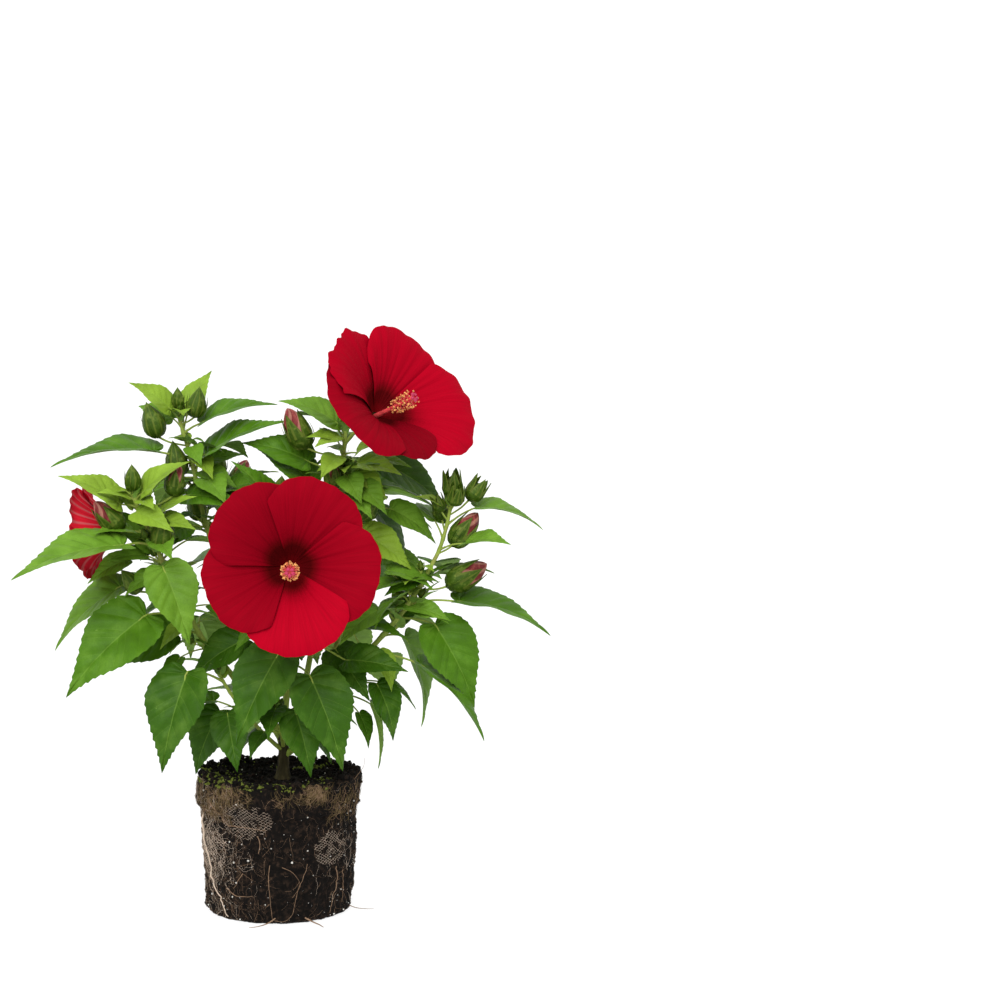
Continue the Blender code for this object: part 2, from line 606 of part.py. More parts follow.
shrub = bpy.data.objects.new("hibiscus_shrub", None)
bpy.context.scene.collection.objects.link(shrub)
SLOTS = {"root_ball": "soil", "trunk": "bark", "stem": "stem", "foliage": "leaf", "bloom": "petal"}
for obj in list(bpy.context.scene.objects):
    if obj.type == "MESH":
        finish(obj, next(SLOTS[key] for key in SLOTS if obj.name.startswith(key)), shrub)
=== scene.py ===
"""Hibiscus shrub: leaves, buds, blooms, boughs and root ball, grown over the plain solids.

Sizes are millimetres and degrees until a mesh is made.  The origin is the middle of the root
ball's underside, +Z is up, and the side with the full-face bloom looks along -Y.  Headings are
seen from above: 0 toward -Y, 90 toward +X, 180 toward +Y, 270 toward -X.
"""
import math
import random

import bpy
import numpy as np
from mathutils import Matrix, Vector, noise
from mathutils.kdtree import KDTree


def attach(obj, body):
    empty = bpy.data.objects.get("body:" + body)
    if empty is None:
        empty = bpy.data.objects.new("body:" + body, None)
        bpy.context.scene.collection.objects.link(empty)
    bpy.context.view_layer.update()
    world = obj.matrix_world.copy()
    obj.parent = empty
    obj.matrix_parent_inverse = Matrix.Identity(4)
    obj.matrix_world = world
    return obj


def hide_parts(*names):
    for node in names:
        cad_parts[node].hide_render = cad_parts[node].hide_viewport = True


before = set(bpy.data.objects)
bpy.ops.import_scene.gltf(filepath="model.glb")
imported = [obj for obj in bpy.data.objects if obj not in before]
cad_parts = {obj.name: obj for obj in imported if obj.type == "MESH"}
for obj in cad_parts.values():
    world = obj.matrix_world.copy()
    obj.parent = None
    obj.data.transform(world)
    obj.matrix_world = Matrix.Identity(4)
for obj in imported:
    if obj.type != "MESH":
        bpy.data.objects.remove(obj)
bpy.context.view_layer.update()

bl_info = {
    "name": "Hibiscus Shrub",
    "version": (1, 0, 0),
    "blender": (4, 5, 0),
    "location": "View3D > Sidebar > Shrub",
    "description": "Grows a hibiscus shrub with leaves, buds and blooms on its root ball",
    "category": "Add Mesh",
}

MM = 0.001
UP = Vector((0, 0, 1))
SIDE = Vector((0, 1, 0))
SEAT = 0.3            # gap between limbs in the solids
SWINGS = (0, 5, -5, 10, -10, 16, -16, 24, -24, 34, -34)   # turns tried until a leaf has room
LEAF_MATCH, BUD_MATCH = 0.05, 1.0     # how near the solid's corner lies to a tip that has room
GOLDEN = 137.5        # degrees round the stem from one leaf to the next
GOLDEN_TURN = 2.399963    # radians round the column from one stamen to the next

# ---- root ball and trunk ---------------------------------------------------------------------
BALL_TOP = 135.0
BALL_PROFILE = ((0, 69), (2.5, 73.5), (22, 75.5), (55, 77.5), (88, 79), (108, 79.3), (111, 82.6),
                (126, 83.4), (139, 83))
GIRTH = 78            # radius at which lengths round the ball's side are measured
RIM = 80              # the same for roots and fibres, which reach the lip
TRUNK_PATH = ((4, 0, BALL_TOP + SEAT), (4.4, 0, 156), (4.6, -0.4, 180), (5, -1, 200))
TRUNK_RADII = ((0.0, 8.6), (0.07, 7.0), (0.2, 5.9), (0.5, 5.3), (1.0, 4.7))

# ---- shoots ----------------------------------------------------------------------------------
# path: from the trunk to the shoot's tip; radii: at both ends; bare: part of the path that is a
# bare bough;
# leaves: (along, heading, petiole, rise, blade, pitch, roll, turn of the blade);
# tints: a letter for each of these, deep, middle, bright or young, or - where it is left out;
# deep and bright are also painted shade and painted light, set on leaves in shade and in the
# light, and bright and young also lift leaves that sit in the crown's shade;
# more: leaves too small or too far in for the solids, each with its tint;
# buds: (along, heading, stalk, rise, length, pitch); showing: the buds whose petals peep out;
# parted: the others' lobes stand apart; spare: the buds that need no room in the solids;
# fill: leaves added by the growth rule (count, first heading, least and greatest heading).
SHOOTS = {
    "front": dict(
        path=((5, -1, 200), (8, -12, 228), (11, -24, 260), (11, -33, 300), (8, -38, 350),
              (3, -38, 400), (0, -36, 426)), radii=(3.9, 1.7), bare=0.24,
        tints="ddddmmdmd",
        leaves=((0.05, 350, 58, 20, 104, -63, -38, -55), (0.02, 18, 62, 0, 101, -67, 38, 40),
                (0.22, 107, 52, -21, 68, -45, 40, -65), (0.16, 262, 45, 6, 74, -35, -45, 0),
                (0.90, 284, 12, 50, 66, 48, -40, 0), (0.84, 310, 14, 20, 46, 10, -20, 0),
                (0.30, 225, 42, 10, 80, -30, -10, 0), (0.62, 70, 30, 20, 66, -20, 20, 0),
                (0.20, 73, 62, -20, 66, -9, 40, 0)),
        buds=((1.00, 20, 5, 75, 22, 70), (0.90, 100, 14, 40, 18, 60)), showing=(),
        more=((0.12, 200, 30, 10, 62, -40, 10, 0, "d"), (0.30, 290, 22, 10, 50, -40, -20, 0, "m")),
        fill=(3, 150, 120, 250)),
    "left": dict(
        path=((0, 0, 186), (-26, -4, 212), (-50, -8, 246), (-78, -12, 282), (-100, -24, 328),
              (-118, -35, 367), (-139, -45, 416), (-145, -50, 433)), radii=(3.6, 1.7), bare=0.37,
        tints="ybbbbmmymyym-",
        leaves=((0.92, 280, 18, 12, 68, 26, -34, 0), (0.68, 314, 50, 7, 116, -15, -14, -37),
                (0.58, 262, 35, 5, 50, -31, -40, 0), (0.50, 352, 38, 20, 84, -66, 44, 66),
                (0.36, 264, 60, 10, 95, -43, -26, 4), (0.22, 311, 57, 9, 114, -42, -50, -27),
                (0.12, 272, 26, 4, 84, -26, -58, -12), (0.20, 338, 20, 0, 36, -45, -30, -55),
                (0.02, 300, 34, -12, 36, -55, -20, 0), (0.90, 12, 12, 0, 48, -22, 40, 70),
                (0.45, 180, 30, 20, 72, -10, 0, 0), (0.28, 90, 24, 10, 50, -35, 30, 0),
                (0.97, 62, 12, 42, 48, 36, 30, 0)),
        buds=((1.00, 0, 5, 80, 26, 78), (0.90, 88, 37, 25, 31, 82),
              (0.66, 18, 18, 10, 38, 70), (0.42, 285, 37, -4, 29, 50), (0.78, 292, 28, 4, 38, 46),
              (0.95, 200, 12, 50, 20, 60)), showing=(1, 4), spare=(4,),
        more=((0.96, 300, 10, 30, 34, 10, -30, 0, "y"), (0.94, 30, 10, 30, 30, -14, 20, 0, "y"),
              (0.74, 300, 22, 20, 44, 0, -20, 0, "b"),
              (0.70, 20, 16, 20, 44, -20, 20, 0, "b"), (0.80, 60, 14, 30, 46, -8, 30, 0, "y"),
              (0.66, 250, 8, 20, 50, 36, -40, 15, "b"), (0.62, 220, 10, 20, 48, 42, 10, 20, "b"),
              (0.56, 285, 22, 30, 40, -4, -30, 0, "b"), (0.74, 240, 24, 20, 40, 20, -30, 20, "m"),
              (0.88, 250, 10, 40, 36, 40, -20, 0, "y"), (0.50, 300, 16, 10, 40, -30, -30, 0, "b"),
              (0.84, 80, 20, 30, 40, 24, 30, 0, "y"), (0.97, 80, 10, 40, 58, 36, 34, 0, "y")),
        fill=(4, 170, 130, 262)),
    "upper_left": dict(
        path=((2, 2, 196), (-14, 8, 222), (-42, 12, 300), (-72, 14, 385), (-86, 18, 447),
              (-94, 20, 476), (-103, 22, 509)), radii=(3.5, 1.6), bare=0.60,
        tints="myby-mmmmm",
        leaves=((0.60, 296, 42, 20, 108, -8, -9, -26), (0.95, 270, 15, 50, 51, 35, -40, 0),
                (0.88, 256, 18, 35, 50, 14, -40, 8), (0.86, 130, 26, 50, 52, 54, 20, -38),
                (0.97, 8, 10, 50, 32, 28, 0, 0), (0.85, 88, 22, 30, 80, 15, 16, 0),
                (0.62, 72, 16, 24, 95, 23, 22, 10), (0.35, 84, 24, 15, 56, 8, 24, 0),
                (0.34, 322, 22, 10, 68, -8, 34, 95), (0.10, 300, 24, 5, 62, -30, -30, 0)),
        buds=((0.75, 284, 31, 18, 37, 70), (0.92, 78, 16, 30, 31, 80), (1.00, 0, 8, 80, 20, 85),
              (0.50, 285, 17, 5, 36, 78)), showing=(), spare=(3,),
        more=((0.45, 30, 20, 20, 52, -26, 20, 0, "b"), (0.30, 60, 24, 20, 56, -20, 30, 0, "m"),
              (0.70, 20, 12, 30, 34, -30, 20, 0, "b"), (0.97, 8, 9, 60, 32, -6, 0, 0, "y"),
              (0.50, 60, 10, 40, 44, -20, 30, 0, "b"), (0.62, 30, 12, 30, 40, -30, 10, 0, "y"),
              (0.42, 300, 14, 20, 42, -10, -10, 0, "b"), (0.56, 110, 14, 30, 44, 10, 30, 0, "b")),
        fill=(4, 165, 120, 250)),
    "top_right": dict(
        path=((7, 2, 190), (24, 8, 222), (42, 4, 320), (58, -6, 410), (63, -10, 445),
              (65, -10, 466), (68, -10, 501)), radii=(3.5, 1.8), bare=0.68,
        tints="bymybdbybdm",
        leaves=((0.92, 256, 11, 50, 67, 23, -32, 4), (0.83, 292, 9, 20, 36, 6, -30, 0),
                (0.45, 262, 38, 28, 72, 16, -40, 0), (0.47, 58, 16, 18, 46, -30, 30, 0),
                (0.30, 28, 20, 10, 50, -26, 20, 0), (0.55, 95, 42, 8, 84, -35, 45, 0),
                (0.40, 78, 32, 0, 75, -20, 10, 0), (0.02, 68, 30, -20, 66, -35, 42, 6),
                (0.15, 84, 54, 0, 60, -35, 40, 0), (0.10, 112, 45, 0, 76, -62, 42, 0),
                (0.30, 258, 30, 22, 74, 30, -35, 0)),
        buds=((0.68, 279, 40, 14, 42, 64), (0.30, 330, 14, 30, 29, 76), (0.03, 66, 28, 6, 31, 45),
              (0.96, 160, 14, 48, 22, 76), (0.80, 140, 22, 36, 26, 70)),
        showing=(0, 1),
        more=((0.42, 20, 18, 25, 46, -34, 20, 0, "b"), (0.52, 60, 20, 30, 52, -12, 26, 0, "y"),
              (0.62, 330, 14, 30, 40, -30, -20, 0, "y"), (0.35, 40, 26, 15, 52, -30, 25, 0, "b"),
              (0.60, 80, 22, 10, 50, -5, 25, 0, "b"), (0.70, 62, 16, 10, 46, 24, 30, 0, "y"),
              (0.80, 325, 14, 40, 32, -18, -30, -20, "y")), fill=(5, 175, 120, 250)),
    "right": dict(
        path=((7, -1, 160), (22, -5, 172), (44, -8, 200), (67, -10, 228), (88, -15, 264),
              (120, -20, 303), (141, -22, 333), (163, -25, 376), (170, -25, 400),
              (175, -25, 426)), radii=(3.8, 1.7), bare=0.245,
        tints="bbmmmbymddmmbd",
        leaves=((0.89, 95, 35, 30, 74, -15, 12, 0), (0.78, 48, 35, 15, 58, 5, 20, 0),
                (0.51, 90, 50, 4, 104, -18, 10, 0), (0.44, 88, 38, -10, 96, -62, 54, -10),
                (0.24, 58, 56, -8, 104, -48, 6, 14), (0.34, 128, 30, -8, 98, -76, 30, -28),
                (0.28, 40, 16, -10, 44, -64, 8, 30), (0.62, 300, 8, 20, 38, -22, -30, -10),
                (0.07, 42, 38, 10, 62, -72, 42, 30), (0.03, 56, 36, -12, 67, -82, -34, 0),
                (0.09, 84, 36, 0, 44, -40, 10, 0), (0.66, 160, 30, 20, 72, -20, 0, 0),
                (0.50, 62, 8, 0, 42, -18, 35, 20), (0.02, 41, 32, -26, 38, -73, 20, 27)),
        buds=((0.76, 90, 18, 30, 40, 52), (0.59, 88, 30, 6, 44, 30), (1.00, 0, 3, 80, 28, 84),
              (0.95, 20, 13, 36, 24, 60), (0.93, 90, 26, 38, 27, 54), (0.91, 268, 11, 55, 19, 70),
              (0.86, 190, 16, 45, 24, 60)), showing=(0, 1), parted=True, spare=(2, 4),
        more=((0.62, 280, 16, 15, 54, -20, -15, 0, "b"), (0.45, 300, 26, 20, 62, -30, -20, 10, "b"),
              (0.52, 330, 18, 30, 50, -35, 20, -20, "b"), (0.96, 280, 10, 20, 30, 20, -20, 0, "y"),
              (0.42, 285, 20, 50, 70, -12, 10, 155, "b"),
              (0.22, 300, 42, 60, 66, -15, 15, 145, "m"),
              (0.55, 290, 40, 45, 52, -20, 20, 155, "b"),
              (0.62, 290, 22, 20, 38, -8, 20, 160, "b")),
        fill=(4, 150, 110, 215)),
    "back_left": dict(
        path=((1, 3, 176), (-14, 20, 200), (-34, 46, 250), (-52, 72, 320), (-62, 92, 385),
              (-64, 102, 436)), radii=(3.5, 1.6), bare=0.36, leaves=(), tints="",
        buds=((1.00, 0, 6, 80, 26, 84), (0.93, 200, 18, 42, 26, 62), (0.86, 130, 24, 35, 34, 60),
              (0.72, 260, 22, 25, 32, 64)), showing=(2,),
        fill=(15, 100, 0, 360)),
    "back_right": dict(
        path=((7, 3, 168), (24, 18, 190), (48, 42, 236), (72, 66, 300), (88, 84, 366),
              (94, 94, 420)), radii=(3.5, 1.6), bare=0.34, leaves=(), tints="",
        buds=((1.00, 0, 6, 80, 26, 84), (0.92, 150, 18, 42, 26, 62), (0.84, 220, 24, 35, 34, 60),
              (0.66, 100, 22, 25, 32, 60)), showing=(3,),
        more=((0.97, 100, 14, 50, 60, -15, 20, -10, "b"), (0.85, 95, 42, 12, 36, -28, 10, 0, "m")),
        fill=(15, 30, 0, 360)),
    "low_left": dict(
        path=((1, -3, 166), (-18, -14, 186), (-44, -24, 220), (-62, -29, 250)),
        radii=(2.3, 1.5), bare=0.0, tints="dd",
        leaves=((0.90, 316, 52, 18, 104, -73, -25, -6), (0.50, 246, 30, 4, 72, -68, -60, 24)),
        buds=(), showing=(), fill=(3, 200, 190, 300)),
    "low_front": dict(
        path=((4, -6.2, 170), (2, -24, 188), (0, -40, 212)), radii=(2.2, 1.4), bare=0.0,
        tints="dddd",
        leaves=((0.85, 32, 30, 22, 70, -71, 38, 20), (0.80, 276, 54, 8, 62, -66, 28, 110),
                (0.50, 325, 30, 5, 34, -40, 0, 0), (0.97, 350, 22, 20, 46, -30, 10, 0)),
        more=((0.60, 80, 26, 0, 46, -55, 20, 0, "d"), (0.40, 250, 24, 0, 44, -50, -20, 0, "d")),
        buds=(), showing=(), fill=(2, 60, 40, 130)),
    "low_back": dict(
        path=((3, 6.2, 162), (-2, 26, 176), (-8, 46, 196), (-12, 60, 222)), radii=(2.3, 1.4),
        bare=0.0, leaves=(), tints="", buds=(), showing=(), fill=(7, 140, 80, 290)),
}

# ---- blooms ----------------------------------------------------------------------------------
# shoot, along: where its stalk starts; seat, axis: its foot and the way it looks; spin: turn
# about the axis; reach, petals: of a petal, and each one's share of it; depth, cup: of the face,
# and how early it flattens; column, points: length of the staminal column and its direction;
# ribs: weight of the pale ribs behind; painted shades: a factor on each petal's colour, painted
# light and shade for how that petal faces the light, and on the left bloom also a lift of its
# whole colour; inner: the same for its face;
# turns: each petal's own turn; cuts: how far a petal's two corners are cut back;
# ragged: petals whose rim is more frilled.
BLOOMS = {
    "front": dict(shoot="front", along=0.40, seat=(10, -90, 364.5), axis=(0, -0.978, 0.208),
                  spin=25, reach=91, petals=(0.95, 0.995, 0.975, 0.955, 0.955), depth=43,
                  column=58, points=(0, -0.999, 0.045), cup=1.9, ribs=0.1,
                  painted_shades=(0.82, 1.26, 0.88, 0.85, 0.76)),
    "top": dict(shoot="top_right", along=0.80, seat=(93, -29, 509), axis=(0.55, -0.64, 0.535),
                spin=21, reach=88, petals=(1.04, 0.83, 1.09, 0.97, 0.95), turns=(0, -18, -5, 0, 0),
                depth=43, column=54, points=(0.660, -0.650, 0.376), cup=1.9, ribs=0.05,
                cuts={0: (0.10, 0.27), 3: (0.27, 0.46), 4: (0.44, 0.12)}, ragged={4: 3.2},
                painted_shades=(0.82, 0.64, 1.25, 1.17, 1.07)),
    "left": dict(shoot="left", along=0.62, seat=(-152, -20, 397), axis=(-0.945, 0.26, -0.10),
                 spin=10, reach=49, petals=(1, 1, 1, 1, 1), depth=42, column=30,
                 points=(-0.945, 0.26, -0.10), cup=1.45, ribs=0.85,
                 painted_shades=(2.0, 2.25, 2.0, 2.25, 2.0), inner=(1.1, 1.2, 1.0, 1.2, 1.1)),
}

PETAL_HALF = 49       # degrees from a petal's middle to its edge
PETAL_SKIN = 0.28     # half of a petal's thickness
THROAT = 3.5          # radius at which the petals start
PETAL_STEP = 2.7      # from one petal to the next on the petals' flat map
FULL_BLOOM = 60       # petals that reach farther than this belong to a full bloom

# ---- leaf: rows from the stalk to the tip, as parts of the blade's length ----------------------
# (place on the midrib, place of the edge, half width)
OUTLINE = ((0.000, 0.000, 0.004), (0.004, -0.050, 0.075), (0.009, -0.062, 0.160),
           (0.016, 0.005, 0.245), (0.028, 0.105, 0.292), (0.050, 0.215, 0.308),
           (0.100, 0.330, 0.303), (0.200, 0.440, 0.268), (0.320, 0.545, 0.218),
           (0.450, 0.645, 0.160), (0.590, 0.740, 0.108), (0.730, 0.830, 0.064),
           (0.870, 0.915, 0.030), (1.000, 1.000, 0.000))
VEINS = (0.16, 0.30, 0.44, 0.55, 0.65, 0.75, 0.85)    # rows that a side vein follows
COLUMNS = (0.20, 0.40, 0.60, 0.80, 0.93, 1.00)        # from the midrib to the edge
FEWER_COLUMNS = (0.28, 0.56, 0.84, 1.00)              # on a leaf under 60 mm
FEWEST_COLUMNS = (0.50, 1.00)                         # on a leaf under 34 mm
TEETH = ((84, 17), (60, 14), (40, 10), (26, 7), (0, 5))   # on a side of a leaf over this length
FOLD = 0.26           # rise of each half from the midrib
ARCH = 0.30           # rise of the blade's middle over its ends


# ---- settings --------------------------------------------------------------------------------
def colour_prop(name, description, default):
    return bpy.props.FloatVectorProperty(name=name, description=description, subtype="COLOR",
                                         size=3, min=0.0, max=1.0, default=default)


def length_prop(name, description, default):
    return bpy.props.FloatProperty(name=name, description=description, subtype="DISTANCE",
                                   unit="LENGTH", min=0.0, default=default)


def part_prop(name, description, default):
    return bpy.props.FloatProperty(name=name, description=description, subtype="FACTOR",
                                   min=0, max=0.05, default=default)


def strength_prop(name, description, default):
    return bpy.props.FloatProperty(name=name, description=description, min=0.0, default=default)


class LeafSettings(bpy.types.PropertyGroup):
    """Colours and relief of the leaves."""
    # deep and bright are painted shade and painted light as well as leaf colour: deep for leaves in
    # shade low in and inside the crown, bright for leaves where the light falls
    deep: colour_prop("Deep green", "Old leaves low in the crown", (0.0240, 0.073, 0.0020))
    middle: colour_prop("Middle green", "Grown leaves", (0.046, 0.121, 0.0036))
    bright: colour_prop("Bright green", "Leaves near the shoots' ends", (0.084, 0.180, 0.0122))
    young: colour_prop("Young green", "Leaves that have just opened", (0.154, 0.251, 0.0200))
    under: colour_prop("Underside", "Pale underside of every leaf", (0.145, 0.256, 0.045))
    vein: colour_prop("Vein", "Veins on the upper side", (0.120, 0.205, 0.030))
    thickness: length_prop("Thickness", "Thickness of a blade", 0.00045)
    tooth: part_prop("Tooth", "Depth of a tooth of the edge as a part of the blade", 0.009)
    puff: part_prop("Puff", "Rise of the blade between its veins as a part of its length", 0.018)


class BloomSettings(bpy.types.PropertyGroup):
    """Colours of the blooms."""
    petal: colour_prop("Petal", "Crimson of the petals", (0.222, 0.0002, 0.0066))
    eye: colour_prop("Eye", "Dark throat of the petals", (0.056, 0.0006, 0.0014))
    anther: colour_prop("Anther", "Pollen sacs", (0.720, 0.300, 0.085))
    stigma: colour_prop("Stigma", "Pads at the column's tip", (0.420, 0.016, 0.075))
    pleat: length_prop("Pleat", "Depth of the petals' pleats", 0.0004)


class StemSettings(bpy.types.PropertyGroup):
    """Colours of trunk, boughs, stalks and buds."""
    bark: colour_prop("Bark", "Woody foot of the shrub", (0.034, 0.028, 0.011))
    stem: colour_prop("Stem", "Green boughs", (0.230, 0.310, 0.052))
    stalk: colour_prop("Stalk", "Leaf stalks and bud stalks", (0.240, 0.320, 0.052))
    sepal: colour_prop("Sepal", "Green of the buds", (0.034, 0.072, 0.0024))
    rib: colour_prop("Rib", "Pale ribs of the buds", (0.076, 0.108, 0.0110))
    furled: colour_prop("Furled petals", "Petals that peep out of a bud", (0.165, 0.026, 0.026))
    furled_pale: colour_prop("Furled ribs", "Pale ribs of those petals", (0.270, 0.110, 0.080))


class SoilSettings(bpy.types.PropertyGroup):
    """Colours of the root ball."""
    dark: colour_prop("Dark soil", "Peat of the ball", (0.0039, 0.0028, 0.0021))
    brown: colour_prop("Brown soil", "Dry fibres in the peat", (0.028, 0.017, 0.011))
    root: colour_prop("Root", "Fine roots", (0.205, 0.130, 0.080))
    pale_root: colour_prop("Pale root", "Young root tips and the net", (0.560, 0.450, 0.350))
    perlite: colour_prop("Perlite", "White grains", (0.560, 0.545, 0.500))
    fibre: colour_prop("Fibre", "Matted fibres under the lip", (0.128, 0.089, 0.038))
    moss: colour_prop("Moss", "Moss on top of the ball", (0.110, 0.132, 0.020))
    relief: length_prop("Relief", "Roughness of the soil", 0.0021)


class StageSettings(bpy.types.PropertyGroup):
    """Floor, light and camera."""
    floor: colour_prop("Floor", "Floor, which glows a little as well", (0.16, 0.16, 0.16))
    sun: strength_prop("Key light", "Strength of the key light", 3.0)
    sky: strength_prop("Fill light", "Strength of the light from all round", 1.12)
    distance: length_prop("Camera distance", "From the shrub's axis to the camera", 2.4)
    height: length_prop("Camera height", "Height of the camera", 0.64)
    lens: bpy.props.FloatProperty(name="Lens", description="Focal length", unit="CAMERA",
                                  subtype="DISTANCE_CAMERA", min=1.0, default=84.5)


def settings(name):
    return getattr(bpy.context.scene, "shrub_" + name)


# ---- materials -------------------------------------------------------------------------------
def new_material(name):
    """A material with its shader and a helper that adds linked nodes."""
    made = bpy.data.materials.new(name)
    made.use_nodes = True
    tree = made.node_tree
    shader = tree.nodes["Principled BSDF"]

    def node(kind, links=None, **values):
        added = tree.nodes.new(kind)
        for key, value in values.items():
            setattr(added, key, value)
        for socket, source in (links or {}).items():
            if isinstance(source, bpy.types.NodeSocket):
                tree.links.new(source, added.inputs[socket])
            else:
                added.inputs[socket].default_value = source
        return added

    return made, tree, shader, node


def mottle(node, place, scale, detail, rough=0.5):
    """Soft noise at a scale per metre."""
    return node("ShaderNodeTexNoise", {"Vector": place, "Scale": scale, "Detail": detail,
                                       "Roughness": rough}).outputs["Fac"]


def stretched(node, place, scale):
    return node("ShaderNodeMapping", {"Vector": place, "Scale": scale}).outputs["Vector"]


def times_plus(node, value, factor, more):
    return node("ShaderNodeMath", {0: value, 1: factor, 2: more},
                operation="MULTIPLY_ADD").outputs["Value"]


def ranged(node, value, low, high, **limits):
    """A value carried over to the range from low to high."""
    named = {"From " + key.capitalize(): limit for key, limit in limits.items()}
    return node("ShaderNodeMapRange", {"Value": value, "To Min": low, "To Max": high,
                                       **named}).outputs["Result"]


def surface(parts, paint, height, bump, depth, gloss, rough):
    """Give a shader its colour, its bump and a roughness that follows gloss."""
    _, tree, shader, node = parts
    raised = node("ShaderNodeBump", {"Height": height, "Strength": bump, "Distance": depth})
    tree.links.new(paint, shader.inputs["Base Color"])
    tree.links.new(raised.outputs["Normal"], shader.inputs["Normal"])
    tree.links.new(ranged(node, gloss, *rough), shader.inputs["Roughness"])


def ramp(node, factor, stops):
    """Colour ramp through (place, colour) stops."""
    added = node("ShaderNodeValToRGB", {"Fac": factor})
    cells = added.color_ramp.elements
    while len(cells) < len(stops):
        cells.new(0.5)
    for cell, (place, colour) in zip(cells, stops):
        cell.position = place
        cell.color = (*colour, 1.0)
    return added.outputs["Color"]


def shade(colour, factor):
    return tuple(max(0.0, min(1.0, c * factor)) for c in colour)


def blend(one, two, part):
    return tuple(a + (b - a) * part for a, b in zip(one, two))


def grained(name, colour, rough, scale, spread, bump, bump_scale, stretch=(1, 1, 1), tint=None):
    """Base colour that wanders between two tones, with a fine bump; scale is per metre."""
    made, _, shader, node = parts = new_material(name)
    place = stretched(node, node("ShaderNodeTexCoord").outputs["Object"], stretch)
    broad = mottle(node, place, scale, 5.0, 0.6)
    paint = ramp(node, broad, ((0.30, shade(colour, 1 - spread)), (0.52, colour),
                               (0.72, tint or shade(colour, 1 + spread))))
    surface(parts, paint, mottle(node, place, bump_scale, 4.0, 0.65), bump, 0.001, broad,
            (rough - 0.07, rough + 0.07))
    return made, shader


def leaf_material(name, colour, rough):
    """Leaf surface: a net of small cells between the veins, paler here and there."""
    made, _, shader, node = parts = new_material(name)
    place = node("ShaderNodeTexCoord").outputs["Object"]
    patch = mottle(node, place, 45.0, 4.0, 0.55)
    paint = ramp(node, patch, ((0.30, shade(colour, 0.80)), (0.50, colour),
                               (0.70, blend(shade(colour, 1.22), (0.20, 0.28, 0.06), 0.12))))
    cells = node("ShaderNodeTexVoronoi", {"Vector": place, "Scale": 520.0, "Randomness": 0.9},
                 feature="DISTANCE_TO_EDGE").outputs["Distance"]
    net = ranged(node, cells, 1.16, 1.0, max=0.12)
    mixed = node("ShaderNodeVectorMath", {0: paint, "Scale": net}, operation="SCALE")
    height = times_plus(node, cells, 1.6, mottle(node, place, 900.0, 2.0))
    surface(parts, mixed.outputs["Vector"], height, 0.32, 0.0006, patch,
            (rough - 0.06, rough + 0.08))
    shader.inputs["Specular IOR Level"].default_value = 0.10
    return made


def petal_material(name, colour, eye, ribs, painted_shades):
    """Petal: dark at the throat, streaked along its veins, with paler ribs of a given weight;
    each petal's colour is multiplied by its own factor, painted light and shade for how it faces
    the light."""
    made, tree, shader, node = parts = new_material(name)
    flat = node("ShaderNodeUVMap", uv_map="across").outputs["UV"]
    across, outward = node("ShaderNodeSeparateXYZ", {"Vector": flat}).outputs[:2]
    streak = mottle(node, stretched(node, flat, (30.0, 1.8, 1.0)), 1.0, 5.0, 0.62)
    drift = times_plus(node, streak, 0.03, outward)
    throat = ramp(node, drift, ((0.05, shade(eye, 1.8)), (0.13, shade(eye, 1.1)), (0.22, eye),
                                (0.255, shade(eye, 1.7)), (0.29, blend(eye, colour, 0.45)),
                                (0.345, blend(eye, colour, 0.84)), (0.44, colour),
                                (1.00, shade(colour, 1.06))))
    fine = mottle(node, stretched(node, flat, (85.0, 2.2, 1.0)), 1.0, 2.0)
    tone = ranged(node, times_plus(node, fine, 0.7, streak), 0.87, 1.10, min=0.6, max=1.1)
    paint = node("ShaderNodeVectorMath", {0: throat, "Scale": tone}, operation="SCALE")
    # each petal's factor, found by its place on the flat map: painted light and shade
    which = times_plus(node, across, 1 / (PETAL_STEP * 5), 0.1)
    painted_shade = ramp(node, which, [(0.2 * i, (value,) * 3) for i, value in enumerate(painted_shades)])
    painted_shade.node.color_ramp.interpolation = "CONSTANT"
    paint = node("ShaderNodeVectorMath", {0: paint.outputs["Vector"], 1: painted_shade},
                 operation="MULTIPLY")
    wave = node("ShaderNodeMath", {0: times_plus(node, across, 21.0, streak)}, operation="SINE")
    rib = ranged(node, wave.outputs["Value"], 0.0, ribs, min=0.35, max=1.0)
    ribbed = node("ShaderNodeMix", data_type="RGBA")
    tree.links.new(rib, ribbed.inputs["Factor"])
    tree.links.new(paint.outputs["Vector"], ribbed.inputs["A"])
    ribbed.inputs["B"].default_value = (0.52, 0.10, 0.11, 1.0)
    surface(parts, ribbed.outputs["Result"], streak, 0.35, 0.0006, streak, (0.62, 0.78))
    shader.inputs["Specular IOR Level"].default_value = 0.02
    return made


def leaf_materials():
    """The leaves' materials in the order of their slots, made once: four tints, of which deep and
    bright are also painted shade and painted light, the veins of each, the underside and its veins."""
    look = settings("leaves")
    kinds = ("deep", "middle", "bright", "young")
    colours = [tuple(getattr(look, kind)) for kind in kinds]
    table = [("leaf_" + kind, colour, 0.44) for kind, colour in zip(kinds, colours)]
    table += [("vein_" + kind, blend(shade(colour, 1.15), look.vein, 0.36), 0.48)
              for kind, colour in zip(kinds, colours)]
    table += [("leaf_under", tuple(look.under), 0.66),
              ("vein_under", blend(look.under, look.vein, 0.4), 0.60)]
    return [bpy.data.materials.get(name) or leaf_material(name, colour, rough)
            for name, colour, rough in table]


# the deep and bright slots are painted shade and painted light as well as leaf colour
DEEP_AND_SHADED, MIDDLE, BRIGHT_AND_LIT, YOUNG, VEIN = range(5)          # the vein of a tint is VEIN slots on
UNDER, UNDER_VEIN = 8, 9


def soil_material(name, colour, spread, tint=None, gloss=0.15, bump=0.6):
    """Dull material of something in the root ball."""
    made, shader = grained(name, tuple(colour), 0.88, 190, spread, bump, 1000,
                           tint=tuple(tint) if tint else None)
    shader.inputs["Specular IOR Level"].default_value = gloss
    return made


